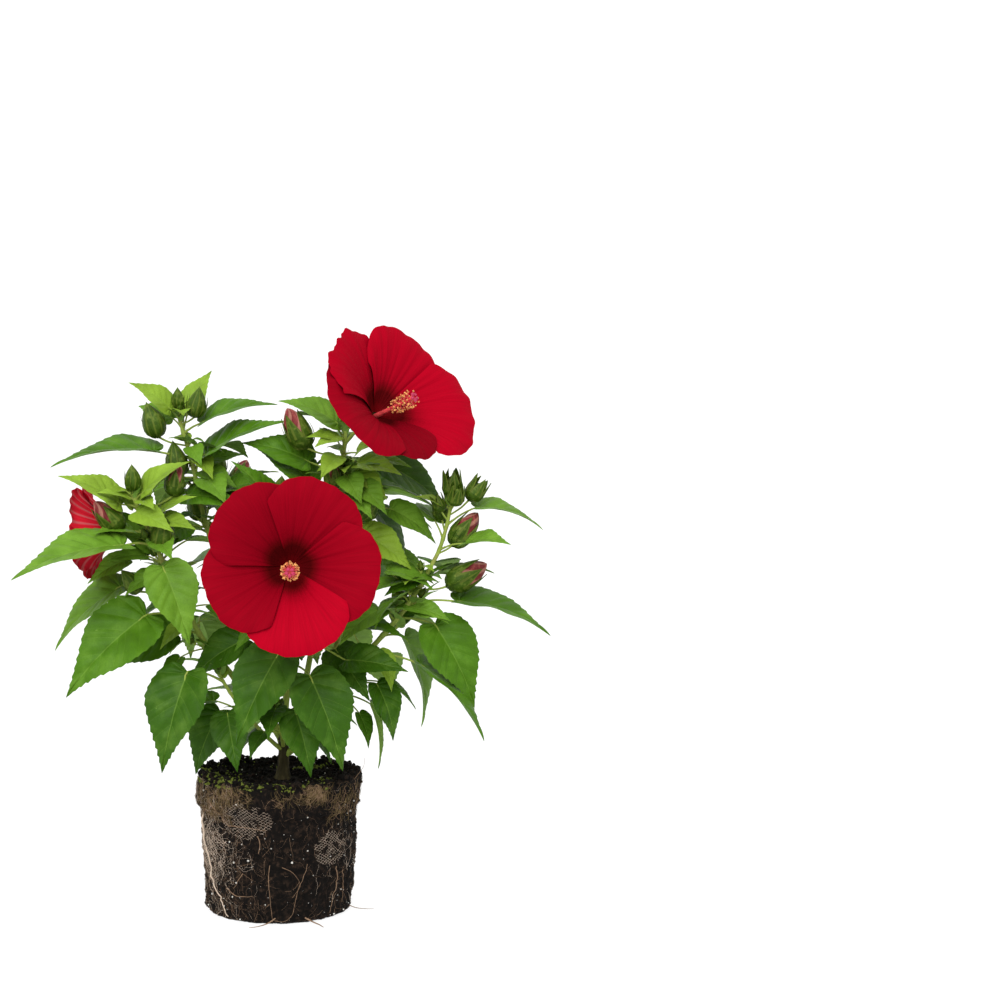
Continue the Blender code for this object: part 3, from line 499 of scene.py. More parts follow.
# roughness, scale and spread of the patches, bump and its scale, stretch, colour of the patches
STEM_LOOKS = {
    "bark": (0.80, 190, 0.55, 0.9, 700, 0.22, (0.080, 0.066, 0.030)),
    "stem": (0.55, 120, 0.25, 0.5, 1100, 0.25, (0.215, 0.255, 0.050)),
    "stalk": (0.52, 90, 0.22, 0.3, 1500, 1.0, (0.230, 0.235, 0.060)),
    "sepal": (0.50, 160, 0.34, 0.4, 1100, 1.0, (0.130, 0.175, 0.026)),
    "rib": (0.52, 200, 0.20, 0.3, 1100, 1.0, None),
    "furled": (0.55, 260, 0.40, 0.5, 1200, 0.3, (0.30, 0.075, 0.060)),
    "furled_pale": (0.55, 260, 0.30, 0.5, 1200, 0.3, None),
}


def stem_material(name):
    """One of the materials of trunk, boughs, stalks and buds, made once."""
    full = "plant_" + name
    if full in bpy.data.materials:
        return bpy.data.materials[full]
    rough, scale, spread, bump, bump_scale, stretch, tint = STEM_LOOKS[name]
    made, shader = grained(full, tuple(getattr(settings("stems"), name)), rough, scale, spread,
                           bump, bump_scale, stretch=(1, 1, stretch), tint=tint)
    shader.inputs["Specular IOR Level"].default_value = 0.12
    return made


# ---- meshes ----------------------------------------------------------------------------------
class Bundle:
    """Shapes gathered for one joined piece: vertices in millimetres, faces with a slot each and
    a flat map of two numbers for each vertex."""

    def __init__(self):
        self.verts = []
        self.faces = []
        self.slots = []
        self.flat = []
        self.count = 0

    def add(self, verts, faces, slots=0, flat=None):
        first = self.count
        verts = np.array([tuple(v) for v in verts] if isinstance(verts, list) else verts, float)
        self.verts.append(verts)
        self.faces += [tuple(first + i for i in face) for face in faces]
        self.slots += [slots] * len(faces) if isinstance(slots, int) else list(slots)
        self.flat.append(np.zeros((len(verts), 2)) if flat is None else np.array(flat, float))
        self.count += len(verts)

    def build(self, name, materials, body_slot, nodes=(), sharp=50.0, flat_name=""):
        """The joined piece, smooth shaded, riding on the shrub's one body."""
        mesh = bpy.data.meshes.new(name)
        mesh.from_pydata((np.concatenate(self.verts) * MM).tolist(), [], self.faces)
        mesh.polygons.foreach_set("material_index", self.slots)
        for made in materials:
            mesh.materials.append(made)
        if flat_name:
            layer = mesh.uv_layers.new(name=flat_name)
            corner = np.empty(len(mesh.loops), np.int32)
            mesh.loops.foreach_get("vertex_index", corner)
            flat = np.concatenate(self.flat)[corner]
            layer.data.foreach_set("uv", flat.astype(np.float32).ravel())
        mesh.update()
        mesh.shade_smooth()
        mesh.set_sharp_from_angle(angle=math.radians(sharp))
        piece = bpy.data.objects.new(name, mesh)
        bpy.context.scene.collection.objects.link(piece)
        if nodes:
            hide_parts(*nodes)
        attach(piece, "root")
        return piece


def spline(points, step=12.0):
    """Points about `step` apart on a smooth curve through the given points."""
    pts = [Vector(p) for p in points]
    pts = [2 * pts[0] - pts[1]] + pts + [2 * pts[-1] - pts[-2]]
    out = []
    for i in range(1, len(pts) - 2):
        a, b, c, d = pts[i - 1:i + 3]
        count = max(1, round((c - b).length / step))
        for k in range(count):
            t = k / count
            out.append(0.5 * (2 * b + (c - a) * t + (2 * a - 5 * b + 4 * c - d) * t * t
                              + (3 * b - 3 * c + d - a) * t ** 3))
    out.append(pts[-2].copy())
    return out


def runs_of(path):
    """Length of the path up to each of its points."""
    runs = [0.0]
    for p, q in zip(path, path[1:]):
        runs.append(runs[-1] + (q - p).length)
    return runs


def along(path, part):
    """Point and direction at a part (0..1) of a path's length."""
    lengths = [(q - p).length for p, q in zip(path, path[1:])]
    left = max(0.0, min(1.0, part)) * sum(lengths)
    for p, q, size in zip(path, path[1:], lengths):
        if left <= size or q is path[-1]:
            return p + (q - p) * min(1.0, left / size), (q - p).normalized()
        left -= size


def split(path, part):
    """Cut a path in two at a part of its length."""
    point, _ = along(path, part)
    lengths, run, cut = [(q - p).length for p, q in zip(path, path[1:])], 0.0, 0
    for i, size in enumerate(lengths):
        if run + size >= part * sum(lengths) - 1e-9:
            cut = i
            break
        run += size
    first = [p.copy() for p in path[:cut + 1]]
    second = [p.copy() for p in path[cut + 1:]]
    if (first[-1] - point).length > 2.5:
        first.append(point)
    else:
        first[-1] = point
    if (second[0] - point).length < 2.5 and len(second) > 1:
        second = second[1:]
    return first, [point.copy()] + second


def direction(heading, pitch):
    """Unit vector for a heading in plan and a rise above level."""
    h, p = math.radians(heading), math.radians(pitch)
    return Vector((math.cos(p) * math.sin(h), -math.cos(p) * math.cos(h), math.sin(p)))


def axes_about(ahead):
    """Two axes square to a direction and to each other."""
    side = ahead.cross(UP if abs(ahead.z) < 0.9 else SIDE).normalized()
    return side, ahead.cross(side)


def spoke(axes, angle):
    """Unit vector at an angle round from the first axis to the second."""
    return axes[0] * math.cos(angle) + axes[1] * math.sin(angle)


def ring_faces(rings, sides):
    """Faces between rings of vertices, ring by ring, and then the two flat ends."""
    faces = [(i * sides + k, i * sides + (k + 1) % sides, (i + 1) * sides + (k + 1) % sides,
              (i + 1) * sides + k) for i in range(rings - 1) for k in range(sides)]
    return faces + [tuple(range(sides))[::-1],
                    tuple((rings - 1) * sides + k for k in range(sides))]


def sheet_corners(inner):
    """Vertex numbers of a thin sheet's two sides, which share those that aren't inner."""
    upper = np.arange(inner.size).reshape(inner.shape)
    lower = upper.copy()
    lower[inner] = inner.size + np.arange(inner.sum())
    return upper, lower


def taper(path, size, fall):
    """Radii that fall evenly along a path by a part of the first."""
    last = len(path) - 1
    return [size * (1 - fall * i / last) for i in range(last + 1)]


def tube(bundle, path, radii, sides, slot=0, relief=None, pointed=False):
    """Closed tube about a path; relief(part round, run, radius) moves the skin out or in."""
    verts = []
    side = None
    runs = runs_of(path)
    last = len(path) - 1
    for i, (point, radius) in enumerate(zip(path, radii)):
        ahead = (path[min(i + 1, last)] - path[max(i - 1, 0)]).normalized()
        if side is None:
            side, _ = axes_about(ahead)
        side = (side - ahead * side.dot(ahead)).normalized()
        axes = side, ahead.cross(side)
        for k in range(sides):
            r = radius + (relief(k / sides, runs[i], radius) if relief else 0.0)
            verts.append(point + spoke(axes, math.tau * k / sides) * r)
    faces = ring_faces(last + 1, sides)
    if pointed:
        end = faces.pop()
        faces += [(one, two, len(verts)) for one, two in zip(end, (*end[1:], end[0]))]
        verts.append(path[-1] + (path[-1] - path[-2]).normalized() * radii[-1])
    bundle.add(verts, faces, slot)


def lathe(bundle, start, ahead, profile, sides, slot=0):
    """Solid of turning through (distance along the axis, radius) rings, flat at both ends."""
    axes = axes_about(ahead)
    verts = [start + ahead * q + spoke(axes, math.tau * k / sides) * r
             for q, r in profile for k in range(sides)]
    bundle.add(verts, ring_faces(len(profile), sides), slot)


# corners and faces of a regular lump of twenty sides
MEAN = (1 + 5 ** 0.5) / 2
SIGNS = [(x, y * MEAN) for y in (1, -1) for x in (-1, 1)]
LUMP_CORNERS = np.array([(x, y, 0) for x, y in SIGNS] + [(0, x, y) for x, y in SIGNS]
                        + [(y, 0, x) for x, y in SIGNS]) / math.hypot(1, MEAN)
LUMP_FACES = ((0, 11, 5), (0, 5, 1), (0, 1, 7), (0, 7, 10), (0, 10, 11), (1, 5, 9), (5, 11, 4),
              (11, 10, 2), (10, 7, 6), (7, 1, 8), (3, 9, 4), (3, 4, 2), (3, 2, 6), (3, 6, 8),
              (3, 8, 9), (4, 9, 5), (2, 4, 11), (6, 2, 10), (8, 6, 7), (9, 8, 1))


def lump(bundle, centre, size, rng, slot=0, stretch=(1, 1, 1)):
    """A crumb: a lump with every corner moved at random."""
    rough = np.array([[rng.uniform(0.72, 1.2)] for _ in LUMP_CORNERS])
    turn = Matrix.Rotation(rng.uniform(0, math.tau), 3, Vector((rng.uniform(-1, 1),
                                                                 rng.uniform(-1, 1), 1)))
    spun = LUMP_CORNERS * rough * np.array(stretch) @ np.array(turn).T
    bundle.add(np.array(centre) + spun * size, LUMP_FACES, slot)


def curve(table, t):
    """Rows of a table, evenly spaced in t, joined by a smooth curve."""
    table = np.array(table)
    n = len(table) - 1
    x = np.clip(np.asarray(t, float), 0, 1) * n
    i = np.minimum(x.astype(int), n - 1)
    f = (x - i)[:, None]
    a, b = table[np.maximum(i - 1, 0)], table[i]
    c, d = table[i + 1], table[np.minimum(i + 2, n)]
    return 0.5 * (2 * b + (c - a) * f + (2 * a - 5 * b + 4 * c - d) * f * f
                  + (3 * b - 3 * c + d - a) * f ** 3)


# ---- leaf ------------------------------------------------------------------------------------
def half_blade(length, teeth, rng, depth):
    """Place along and across, for the rows and columns of one half of a blade, then each row's
    part of the outline, and which rows start a vein."""
    count = 3 * teeth + 1
    t = np.linspace(0.012, 1.0, count + 1)[:-1]
    mid, edge, wide = curve(OUTLINE, t).T
    ahead = curve(OUTLINE, t + 0.01)[:, 1:] - curve(OUTLINE, t - 0.01)[:, 1:]
    ahead /= np.linalg.norm(ahead, axis=1)[:, None]
    step = np.arange(count) % 3
    tooth = np.choose(step, (-0.35, 0.30, 1.0)) * depth
    size = np.repeat([rng.uniform(0.65, 1.3) for _ in range(teeth + 1)], 3)[:count]
    tooth = tooth * size * np.clip((t - 0.06) / 0.10, 0, 1) * np.clip((0.99 - t) / 0.14, 0.15, 1)
    rib = min(0.9, 0.012 * length) / length
    inner = np.minimum(0.13, rib * (1 - 0.8 * mid) / np.maximum(wide, 0.02))
    columns = COLUMNS if length > 60 else FEWER_COLUMNS if length > 34 else FEWEST_COLUMNS
    v = np.column_stack([np.zeros(count), inner, np.tile(columns, (count, 1))])
    a = mid[:, None] + (edge - mid)[:, None] * v ** 1.22
    b = wide[:, None] * v
    reach = np.clip((v - 0.86) / 0.14, 0, 1)
    a += reach * (tooth * -ahead[:, 1] + 0.35 * tooth)[:, None]
    b += reach * (tooth * ahead[:, 0])[:, None]
    return t, v, a, b


def with_veins(t, grids, length):
    """Each row that a vein follows is opened into two, a vein's width apart."""
    rows = {int(round(vein * len(t) / 3)) * 3 - 1 for vein in VEINS}
    rows = sorted(r for r in rows if 1 < r < len(t) - 2)
    a, b = grids[0], grids[1]
    across = np.linspace(1, 0.35, a.shape[1])
    width = (0.0028 + 0.0016 * (len(t) < 30)) * across * min(1.0, 60 / length)
    out, times, starts = [], [], []
    for r in range(len(t)):
        if r not in rows:
            out.append([g[r] for g in grids])
            times.append(t[r])
            continue
        starts.append(len(out))
        for near in (r - 1, r + 1):
            gap = np.hypot(a[near] - a[r], b[near] - b[r]) + 1e-6
            part = np.minimum(0.35, width / gap)
            out.append([g[r] + (g[near] - g[r]) * part for g in grids])
            times.append(t[r])
    return np.array(times), [np.array(g) for g in zip(*out)], starts


def phase_between(t, marks):
    """Place of each t between the two marks round it, 0..1."""
    bounds = [0.0, *marks, 1.0]
    out = np.zeros(len(t))
    for low, high in zip(bounds, bounds[1:]):
        inside = (t >= low - 1e-9) & (t <= high + 1e-9)
        out[inside] = (t[inside] - low) / (high - low)
    return out


def leaf(bundle, base, heading, pitch, roll, length, tint, rng):
    """A toothed blade, folded along its midrib and puffed up between its veins."""
    look = settings("leaves")
    c = direction(heading, pitch)
    h, r = math.radians(heading), math.radians(roll)
    s = Vector((-math.cos(h), -math.sin(h), 0.0))
    n = s.cross(c)
    s, n = s * math.cos(r) - n * math.sin(r), n * math.cos(r) + s * math.sin(r)
    teeth = next(count for least, count in TEETH if length > least)
    droop, twist = rng.uniform(0.0, 0.07), rng.uniform(-0.10, 0.10)
    bend = rng.uniform(-0.03, 0.03)
    halves = []
    for sign in (-1, 1):
        t, v, a, b = half_blade(length, teeth, rng, look.tooth)
        t, (v, a, b), starts = with_veins(t, [v, a, b], length)
        marks = sorted({float(t[i]) for i in starts})
        puff = np.sin(math.pi * phase_between(t, marks))[:, None] * np.sin(math.pi * v) ** 0.7
        wave = math.tau * (rng.uniform(1.6, 2.4) * a + rng.uniform(0, 1))
        lift = (ARCH * a * (1 - a) + FOLD * (np.sqrt(b * b + 0.0009) - 0.03) + look.puff * puff
                - droop * np.clip(a, 0, 1) ** 3 + sign * twist * a * b
                + 0.013 * np.sin(wave) * (b / 0.3) ** 2)
        halves.append((v, a, sign * b + bend * np.clip(a, 0, 1) ** 2, lift))
    v, a, b, lift = (np.concatenate([left[:, :0:-1], right], axis=1)
                     for left, right in zip(*halves))
    rows, columns = a.shape
    middle = columns // 2
    lift = lift * length
    thick = look.thickness / MM / 2 * (1 - v ** 3)
    under = thick.copy()
    under[:, middle] += min(0.8, 0.010 * length) * (1.05 - np.clip(a[:, middle], 0, 1))
    for i in starts:
        under[i:i + 2] += 0.16 * np.clip(1 - v[i:i + 2], 0, 1) * min(1.0, length / 80)
    frame_axes = np.array([c, s, n])
    flat = np.stack([a * length, b * length], axis=2)

    def points(height):
        grid = np.concatenate([flat, height[:, :, None]], axis=2)
        return grid @ frame_axes + np.array(base)

    top, bottom = points(lift + thick), points(lift - under)
    tip = np.array(base) + np.array(c) * length + np.array(s) * bend * length \
        - np.array(n) * droop * length
    inner = np.ones((rows, columns), bool)
    inner[0] = inner[:, 0] = inner[:, -1] = False
    upper, lower = sheet_corners(inner)
    top[~inner] = (top[~inner] + bottom[~inner]) / 2
    verts = np.concatenate([top.reshape(-1, 3), bottom[inner], tip[None]])
    end = len(verts) - 1
    faces, slots = [], []
    veined = set(starts)
    for i in range(rows - 1):
        for k in range(columns - 1):
            vein = i in veined or k in (middle - 1, middle)
            one, two, three, four = (i, k), (i, k + 1), (i + 1, k + 1), (i + 1, k)
            # at the teeth both sides are cut along the same diagonal, so neither shows through
            toothed = k < 2 or k > columns - 4
            for part in ((one, two, three), (one, three, four)) if toothed else (
                    (one, two, three, four),):
                faces.append(tuple(int(upper[q]) for q in part))
                slots.append(tint + VEIN if vein else tint)
                faces.append(tuple(int(lower[q]) for q in part[::-1]))
                slots.append(UNDER_VEIN if vein else UNDER)
    for k in range(columns - 1):
        faces.append((int(upper[-1, k]), int(upper[-1, k + 1]), end))
        slots.append(tint)
        faces.append((int(lower[-1, k + 1]), int(lower[-1, k]), end))
        slots.append(UNDER)
    bundle.add(verts, faces, slots)
    return c, n


def petiole(bundle, start, base, c, n, length):
    """Leaf stalk: thicker where it leaves the stem, run into the blade's midrib."""
    middle = (start + base) / 2 + UP * 0.06 * (base - start).length
    end = base + c * 0.09 * length + n * (ARCH * 0.08 * length - 0.35)
    path = spline([start, middle, base - c * 0.2, end], 5.0)
    size = 0.62 + 0.0042 * length
    total = len(path) - 1
    radii = [size * (1.0 + 0.8 * math.exp(-6.0 * i / total)
                     - 0.35 * max(0.0, i / total - 0.75) / 0.25) for i in range(total + 1)]
    tube(bundle, path, radii, 7)


# ---- bud -------------------------------------------------------------------------------------
BUD_RINGS = ((-0.04, 0.10), (0.0, 0.30), (0.05, 0.62), (0.14, 0.88), (0.27, 1.00), (0.42, 0.98),
             (0.56, 0.87), (0.69, 0.69), (0.81, 0.47), (0.91, 0.25), (0.98, 0.09), (1.03, 0.015))
LOBE_STEPS = (0, 0.16, 0.32, 0.48, 0.64, 0.8, 0.92, 1)
SEPAL, RIB, FURLED = range(3)


def bractlets(bundle, start, ahead, radius, length, count, rng, slot=0):
    """Narrow leaflets round the foot of a bud or bloom, curving out and up."""
    axes = axes_about(ahead)
    for i in range(count):
        out = spoke(axes, math.tau * (i + rng.uniform(-0.25, 0.25)) / count)
        size = length * rng.uniform(0.75, 1.15)
        spread = rng.uniform(0.30, 0.55)
        path = [start + out * (radius * 0.3 + size * spread * math.sin(1.9 * q) * 0.9)
                + ahead * size * (0.9 * q * q + 0.12 * q) for q in (0, 0.2, 0.4, 0.6, 0.8, 1.0)]
        tube(bundle, path, (0.75, 0.8, 0.7, 0.55, 0.36, 0.12), 4, slot)


def lobe(bundle, start, ahead, middle, rows, thick=0.45):
    """Pointed lobe of a calyx; rows: distance along the axis, radius, half angle in degrees."""
    axes = axes_about(ahead)
    across = (-1, -0.72, -0.16, 0.16, 0.72, 1)
    verts = []
    for q, r, half in rows:
        for radius, columns in ((r, across), (r - thick, across[::-1])):
            for x in columns:
                out = spoke(axes, middle + math.radians(half) * x)
                ridge = 0.35 * (abs(x) < 0.2) if columns is across else 0.0
                verts.append(start + ahead * q + out * max(0.05, radius + ridge))
    sides = 2 * len(across)
    slots = [RIB if k in (0, 2, 4, 5) else SEPAL for k in range(sides)] * (len(rows) - 1)
    bundle.add(verts, ring_faces(len(rows), sides), slots + [SEPAL, SEPAL])


def shut_bud(bundle, start, ahead, length, w, rng):
    """Bud whose five ribbed sepals meet at a point."""
    axes = axes_about(ahead)
    sides, spin = 40 if length > 16 else 20, rng.uniform(0, math.tau)
    lean = (axes[0] * rng.uniform(-1, 1) + axes[1] * rng.uniform(-1, 1)) * 0.05 * length
    verts = []
    for q, r in BUD_RINGS:
        for k in range(sides):
            a = math.tau * k / sides
            seam = abs(math.cos(2.5 * a)) ** 9
            rib = 1 + 0.075 * seam - 0.03 * math.cos(10 * a) + 0.05 * math.sin(math.pi * q) * seam
            verts.append(start + ahead * (q * length) + lean * q * q
                         + spoke(axes, a + spin + 0.25 * q) * w * r * rib)
    slots = [RIB if k % 4 == 0 and 1 < i < 10 else SEPAL
             for i in range(len(BUD_RINGS) - 1) for k in range(sides)]
    bundle.add(verts, ring_faces(len(BUD_RINGS), sides), slots + [SEPAL, SEPAL])


def bud_cup(bundle, start, ahead, length, w):
    lathe(bundle, start, ahead, [(q * length, r * w) for q, r in BUD_RINGS[:6]], 30, SEPAL)


def parted_bud(bundle, start, ahead, length, w, rng):
    """Young bud whose five sharp lobes stand apart like a star."""
    bud_cup(bundle, start, ahead, length, w)
    lathe(bundle, start + ahead * 0.3 * length, ahead,
          ((0, 0.85 * w), (0.2 * length, 0.7 * w), (0.42 * length, 0.3 * w), (0.5 * length, 0.1)),
          20, SEPAL)
    spin = rng.uniform(0, math.tau)
    for i in range(5):
        wide = rng.uniform(-0.35, 0.35)
        rows = [((0.30 + 0.72 * t) * length, w * (1.0 + wide * t * t - 0.20 * t) + 0.2,
                 37 * (1 - t ** 2.3) + 0.6) for t in LOBE_STEPS]
        lobe(bundle, start, ahead, spin + math.tau * i / 5, rows)


def open_bud(bundle, start, ahead, length, w, rng):
    """Cup with five parted lobes round the twisted roll of petals."""
    bud_cup(bundle, start, ahead, length, w)
    spin, gape = rng.uniform(0, math.tau), rng.uniform(0.0, 0.10)
    for i in range(5):
        tip = rng.uniform(0.84, 0.97)
        rows = [((0.30 + (tip - 0.30) * t) * length,
                 w * (1.01 - 0.46 * max(0.0, t - 0.18) ** 1.25 + gape * t * t) + 0.2,
                 37.5 * (1 - t ** 1.6) + 0.6) for t in LOBE_STEPS]
        lobe(bundle, start, ahead, spin + math.tau * i / 5, rows)
    axes = axes_about(ahead)
    rings, sides = 16, 40
    verts = []
    for i in range(rings):
        q = i / (rings - 1)
        for k in range(sides):
            a = math.tau * k / sides
            fold = 1 + 0.10 * math.sin(5 * a) * (0.3 + q) + 0.04 * math.sin(20 * a)
            r = (w * 0.90 * (1 - q ** 2.3) ** 0.75 + 0.12) * fold
            verts.append(start + ahead * (length * (0.32 + 0.74 * q))
                         + spoke(axes, a + 1.9 * q) * r)
    slots = [FURLED + (k % 8 < 3) for k in range(sides)] * (rings - 1)
    bundle.add(verts, ring_faces(rings, sides), slots + [FURLED, FURLED])


BUD_KINDS = {"shut": (shut_bud, 1.0), "open": (open_bud, 1.0), "parted": (parted_bud, 1.2)}


def bud(bundle, start, ahead, length, kind, rng):
    """Flower bud of one kind, ringed by narrow leaflets."""
    make, fullness = BUD_KINDS[kind]
    w = 0.31 * length
    make(bundle, start, ahead, length, fullness * w, rng)
    bractlets(bundle, start, ahead, w, 0.62 * length, 10 if length > 16 else 6, rng)


# ---- shoots ----------------------------------------------------------------------------------
def rule_rows(count, first, low, high, seed):
    """Leaves of the growth rule: golden-angle turns up the stem, smaller and steeper higher up."""
    rng = random.Random(seed)
    rows = []
    i = 0
    while len(rows) < count and i < 6 * count:
        heading = (first + GOLDEN * i) % 360
        i += 1
        if not low <= heading <= high:
            continue
        up = (len(rows) + 0.4) / count
        rows.append((0.04 + 0.93 * up, heading, 20 + 32 * (1 - up) + rng.uniform(-4, 6),
                     5 + 45 * up, (92 - 44 * up) * rng.uniform(0.86, 1.1),
                     -52 + 70 * up + rng.uniform(-10, 10), rng.uniform(-22, 22),
                     rng.uniform(-14, 14)))
    return rows


def limb_lines(spec):
    """A shoot's bare bough (or None), its stem, and the radius at a length along the whole."""
    line = spline(spec["path"], 19.0)
    r0, r1 = spec["radii"]
    total = runs_of(line)[-1]
    bough, stem = (None, line)
    if spec["bare"]:
        bough, stem = split(line, spec["bare"])
        stem[0] = stem[0] + (bough[-1] - bough[-2]).normalized() * SEAT

    def radius(run):
        return r0 + (r1 - r0) * (min(run, total) / total) ** 0.8

    return bough, stem, radius


def corner_finder(node):
    """Nearest-corner test on a solid, to see where a leaf or bud of the rule grew."""
    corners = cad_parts[node].data.vertices
    tree = KDTree(len(corners))
    for i, corner in enumerate(corners):
        tree.insert(corner.co, i)
    tree.balance()
    return lambda point: tree.find(point * MM)[2] / MM


def grown_leaves(spec, stem, seed, nearest):
    """Each leaf of a shoot that found room: start, base, heading, its row and its tint."""
    def placed(row, swing=0):
        part, heading, stalk, rise, *_, turn = row
        start, _ = along(stem, part)
        return start, start + direction(heading + swing, rise) * stalk, heading + turn + swing

    for i, row in enumerate((*spec["leaves"], *rule_rows(*spec["fill"], seed))):
        length, pitch = row[4:6]
        letter = spec["tints"][i:i + 1]
        for swing in SWINGS:
            start, base, facing = placed(row, swing)
            if nearest(base + direction(facing, pitch) * length) < LEAF_MATCH:
                if letter != "-":
                    yield start, base, facing, row, letter
                break
    for *row, letter in spec.get("more", ()):
        yield (*placed(row), row, letter)


def grown_buds(spec, stem, nearest):
    """Each bud of a shoot that found room: start of its stalk, foot, axis, length, kind."""
    rest = "parted" if spec.get("parted") else "shut"
    for i, (part, heading, size, rise, length, pitch) in enumerate(spec["buds"]):
        start, _ = along(stem, part)
        foot = start + direction(heading, rise) * size
        ahead = direction(heading, pitch)
        if i in spec.get("spare", ()) or nearest(foot + ahead * length) < BUD_MATCH:
            yield start, foot, ahead, length, "open" if i in spec["showing"] else rest


def leaf_tint(letter, part, length, pitch, base, rng):
    """Tint from the table, or by the rule: young at the shoots' ends, and painted light and shade
    for the rest: bright where the light falls, deep low down, inside and behind, in the shade."""
    if letter:
        return "dmby".index(letter)
    light = 0.5 * part + 0.004 * pitch + 0.0016 * (base.z - 300) - 0.0028 * (length - 60)
    # a leaf set back from the front of the crown loses light: painted shade
    light += rng.uniform(-0.16, 0.12) - 0.16 * (base.y > -20)
    if length < 56 and part > 0.8:
        return YOUNG if light > 0.42 else BRIGHT_AND_LIT
    return BRIGHT_AND_LIT if light > -0.05 else MIDDLE if light > -0.34 else DEEP_AND_SHADED


def stem_relief(seed):
    """Faint ridges along a green stem."""
    def relief(part, run, radius):
        a = math.tau * part
        grain = noise.noise(Vector((math.cos(a) * 2, math.sin(a) * 2, run / 5)))
        return radius * (0.05 * math.sin(5 * a + run / 26 + seed)
                         + 0.035 * math.sin(9 * a - run / 14) + 0.04 * grain)
    return relief


def grow_shoot(name, index):
    """Bough, twigs, leaves and buds of one shoot, each kind a piece of its own."""
    spec = SHOOTS[name]
    node = "foliage_" + name
    rng = random.Random(100 + index)
    nearest = corner_finder(node)
    bough, stem, radius = limb_lines(spec)
    offset = 0.0
    if bough:
        limb = Bundle()
        path = spline(bough, 3.0)
        path[-1] = path[-1] + (path[-1] - path[-2]).normalized() * SEAT
        radii = [radius(run) for run in runs_of(path)]
        tube(limb, path, radii, 20, relief=stem_relief(index))
        limb.build("bough_" + name, [stem_material("stem")], "stem", ["stem_" + name])
        offset = runs_of(bough)[-1]
    twigs, leaves, buds = Bundle(), Bundle(), Bundle()
    found = list(grown_leaves(spec, stem, index + 11, nearest))
    path = spline(stem, 3.5)
    runs = runs_of(path)
    knots = [row[0] * runs[-1] for *_, row, _ in found]
    radii = [radius(offset + run) + sum(0.45 * math.exp(-((run - knot) / 2.6) ** 2)
                                        for knot in knots) for run in runs]
    tube(twigs, path, radii, 14, relief=stem_relief(index + 3), pointed=True)
    for start, base, facing, row, letter in found:
        part, _, _, _, length, pitch, roll, _ = row
        tint = leaf_tint(letter, part, length, pitch, base, rng)
        c, n = leaf(leaves, base, facing, pitch, roll, length, tint, rng)
        petiole(twigs, start, base, c, n, length)
        ahead = along(stem, part)[1]
        stipules(twigs, start, base - start, ahead, rng)
        if rng.random() < (0.85 if name.startswith("back") else 0.5 if part < 0.75 else 0.2):
            axil_spray((leaves, twigs, buds), start, (base - start).normalized(), ahead, part, rng)
    for start, foot, ahead, length, kind in grown_buds(spec, stem, nearest):
        bend = start + (foot - start) * 0.6 + UP * -0.06 * (foot - start).length
        path = spline([start, bend, foot, foot + ahead * 1.6], 3.0)
        last = len(path) - 1
        tube(twigs, path, [0.95 + 0.55 * (i / last) ** 5 for i in range(last + 1)], 7)
        bud(buds, foot, ahead, length, kind, rng)
    apex_tuft(leaves, twigs, buds, path_end=along(stem, 1.0), rng=rng)
    twigs.build("twigs_" + name, [stem_material("stalk")], "stem", [node])
    leaves.build("leaves_" + name, leaf_materials(), "leaf", [node])
    buds.build("buds_" + name, [stem_material(key) for key in
                                ("sepal", "rib", "furled", "furled_pale")], "leaf", [node])


def stipules(bundle, start, away, ahead, rng):
    """Two awl-shaped scales where a leaf stalk leaves its stem."""
    out = away.normalized()
    for turn in (-1, 1):
        lean = (out.cross(ahead) * turn * 0.7 + out * 0.8 + ahead * 0.9).normalized()
        size = rng.uniform(3.0, 5.5)
        root = start + out * 2.2
        path = [root, root + lean * size * 0.5, root + (lean + ahead * 0.5) * size * 0.85]
        tube(bundle, path, (0.45, 0.34, 0.12), 4)


def axil_spray(bundles, start, away, ahead, part, rng):
    """Short twig in a leaf's axil, with a few small leaves and here and there a bud."""
    leaves, twigs, buds = bundles
    lean = (away * 0.8 + ahead * rng.uniform(0.6, 1.2)).normalized()
    size = rng.uniform(7, 17) * (1.1 - 0.4 * part)
    tip = start + lean * size
    tube(twigs, [start, start + lean * size * 0.5, tip], (0.95, 0.85, 0.75), 6)
    turn = 360 * rng.random()
    for i in range(rng.randint(2, 3)):
        heading = turn + GOLDEN * i
        blade = rng.uniform(15, 34) * (1.1 - 0.35 * part)
        base = tip + (direction(heading, rng.uniform(10, 60)) + lean * 0.5) * rng.uniform(3, 7)
        # young colour toward the tips, and otherwise bright tints: painted light that lifts these
        # small leaves out of the crown's shade
        tint = YOUNG if rng.random() < 0.2 + 0.8 * part else rng.choice((MIDDLE, BRIGHT_AND_LIT, BRIGHT_AND_LIT))
        c, n = leaf(leaves, base, heading, rng.uniform(-30, 45), rng.uniform(-25, 25), blade,
                    tint, rng)
        petiole(twigs, tip, base, c, n, blade)
    if rng.random() < 0.35:
        foot = tip + (lean + UP * 0.4).normalized() * 3
        tube(twigs, [tip, foot, foot + lean], (0.75, 0.75, 0.8), 5)
        bud(buds, foot, (lean + UP * 0.8).normalized(), rng.uniform(8, 13), "shut", rng)


def apex_tuft(leaves, twigs, buds, path_end, rng):
    """Small folded leaves and bud scales at the growing tip."""
    point, ahead = path_end
    turn = 360 * rng.random()
    for i in range(6):
        heading = turn + GOLDEN * i
        size = rng.uniform(11, 21)
        start = point - ahead * (1.0 + 2.0 * i)
        base = start + (direction(heading, 50) + ahead).normalized() * rng.uniform(3, 6)
        c, n = leaf(leaves, base, heading, rng.uniform(38, 66), rng.uniform(-15, 15), size, YOUNG,
                    rng)
        petiole(twigs, start, base, c, n, size)
    for i in range(3):
        heading = 120 * i + rng.uniform(-30, 30)
        foot = point + direction(heading, 55) * 5.0
        tube(twigs, [point, foot, foot + ahead], (0.8, 0.8, 0.8), 5)
        bud(buds, foot, (direction(heading, 62) + ahead * 0.5).normalized(), rng.uniform(7, 10),
            "shut", rng)


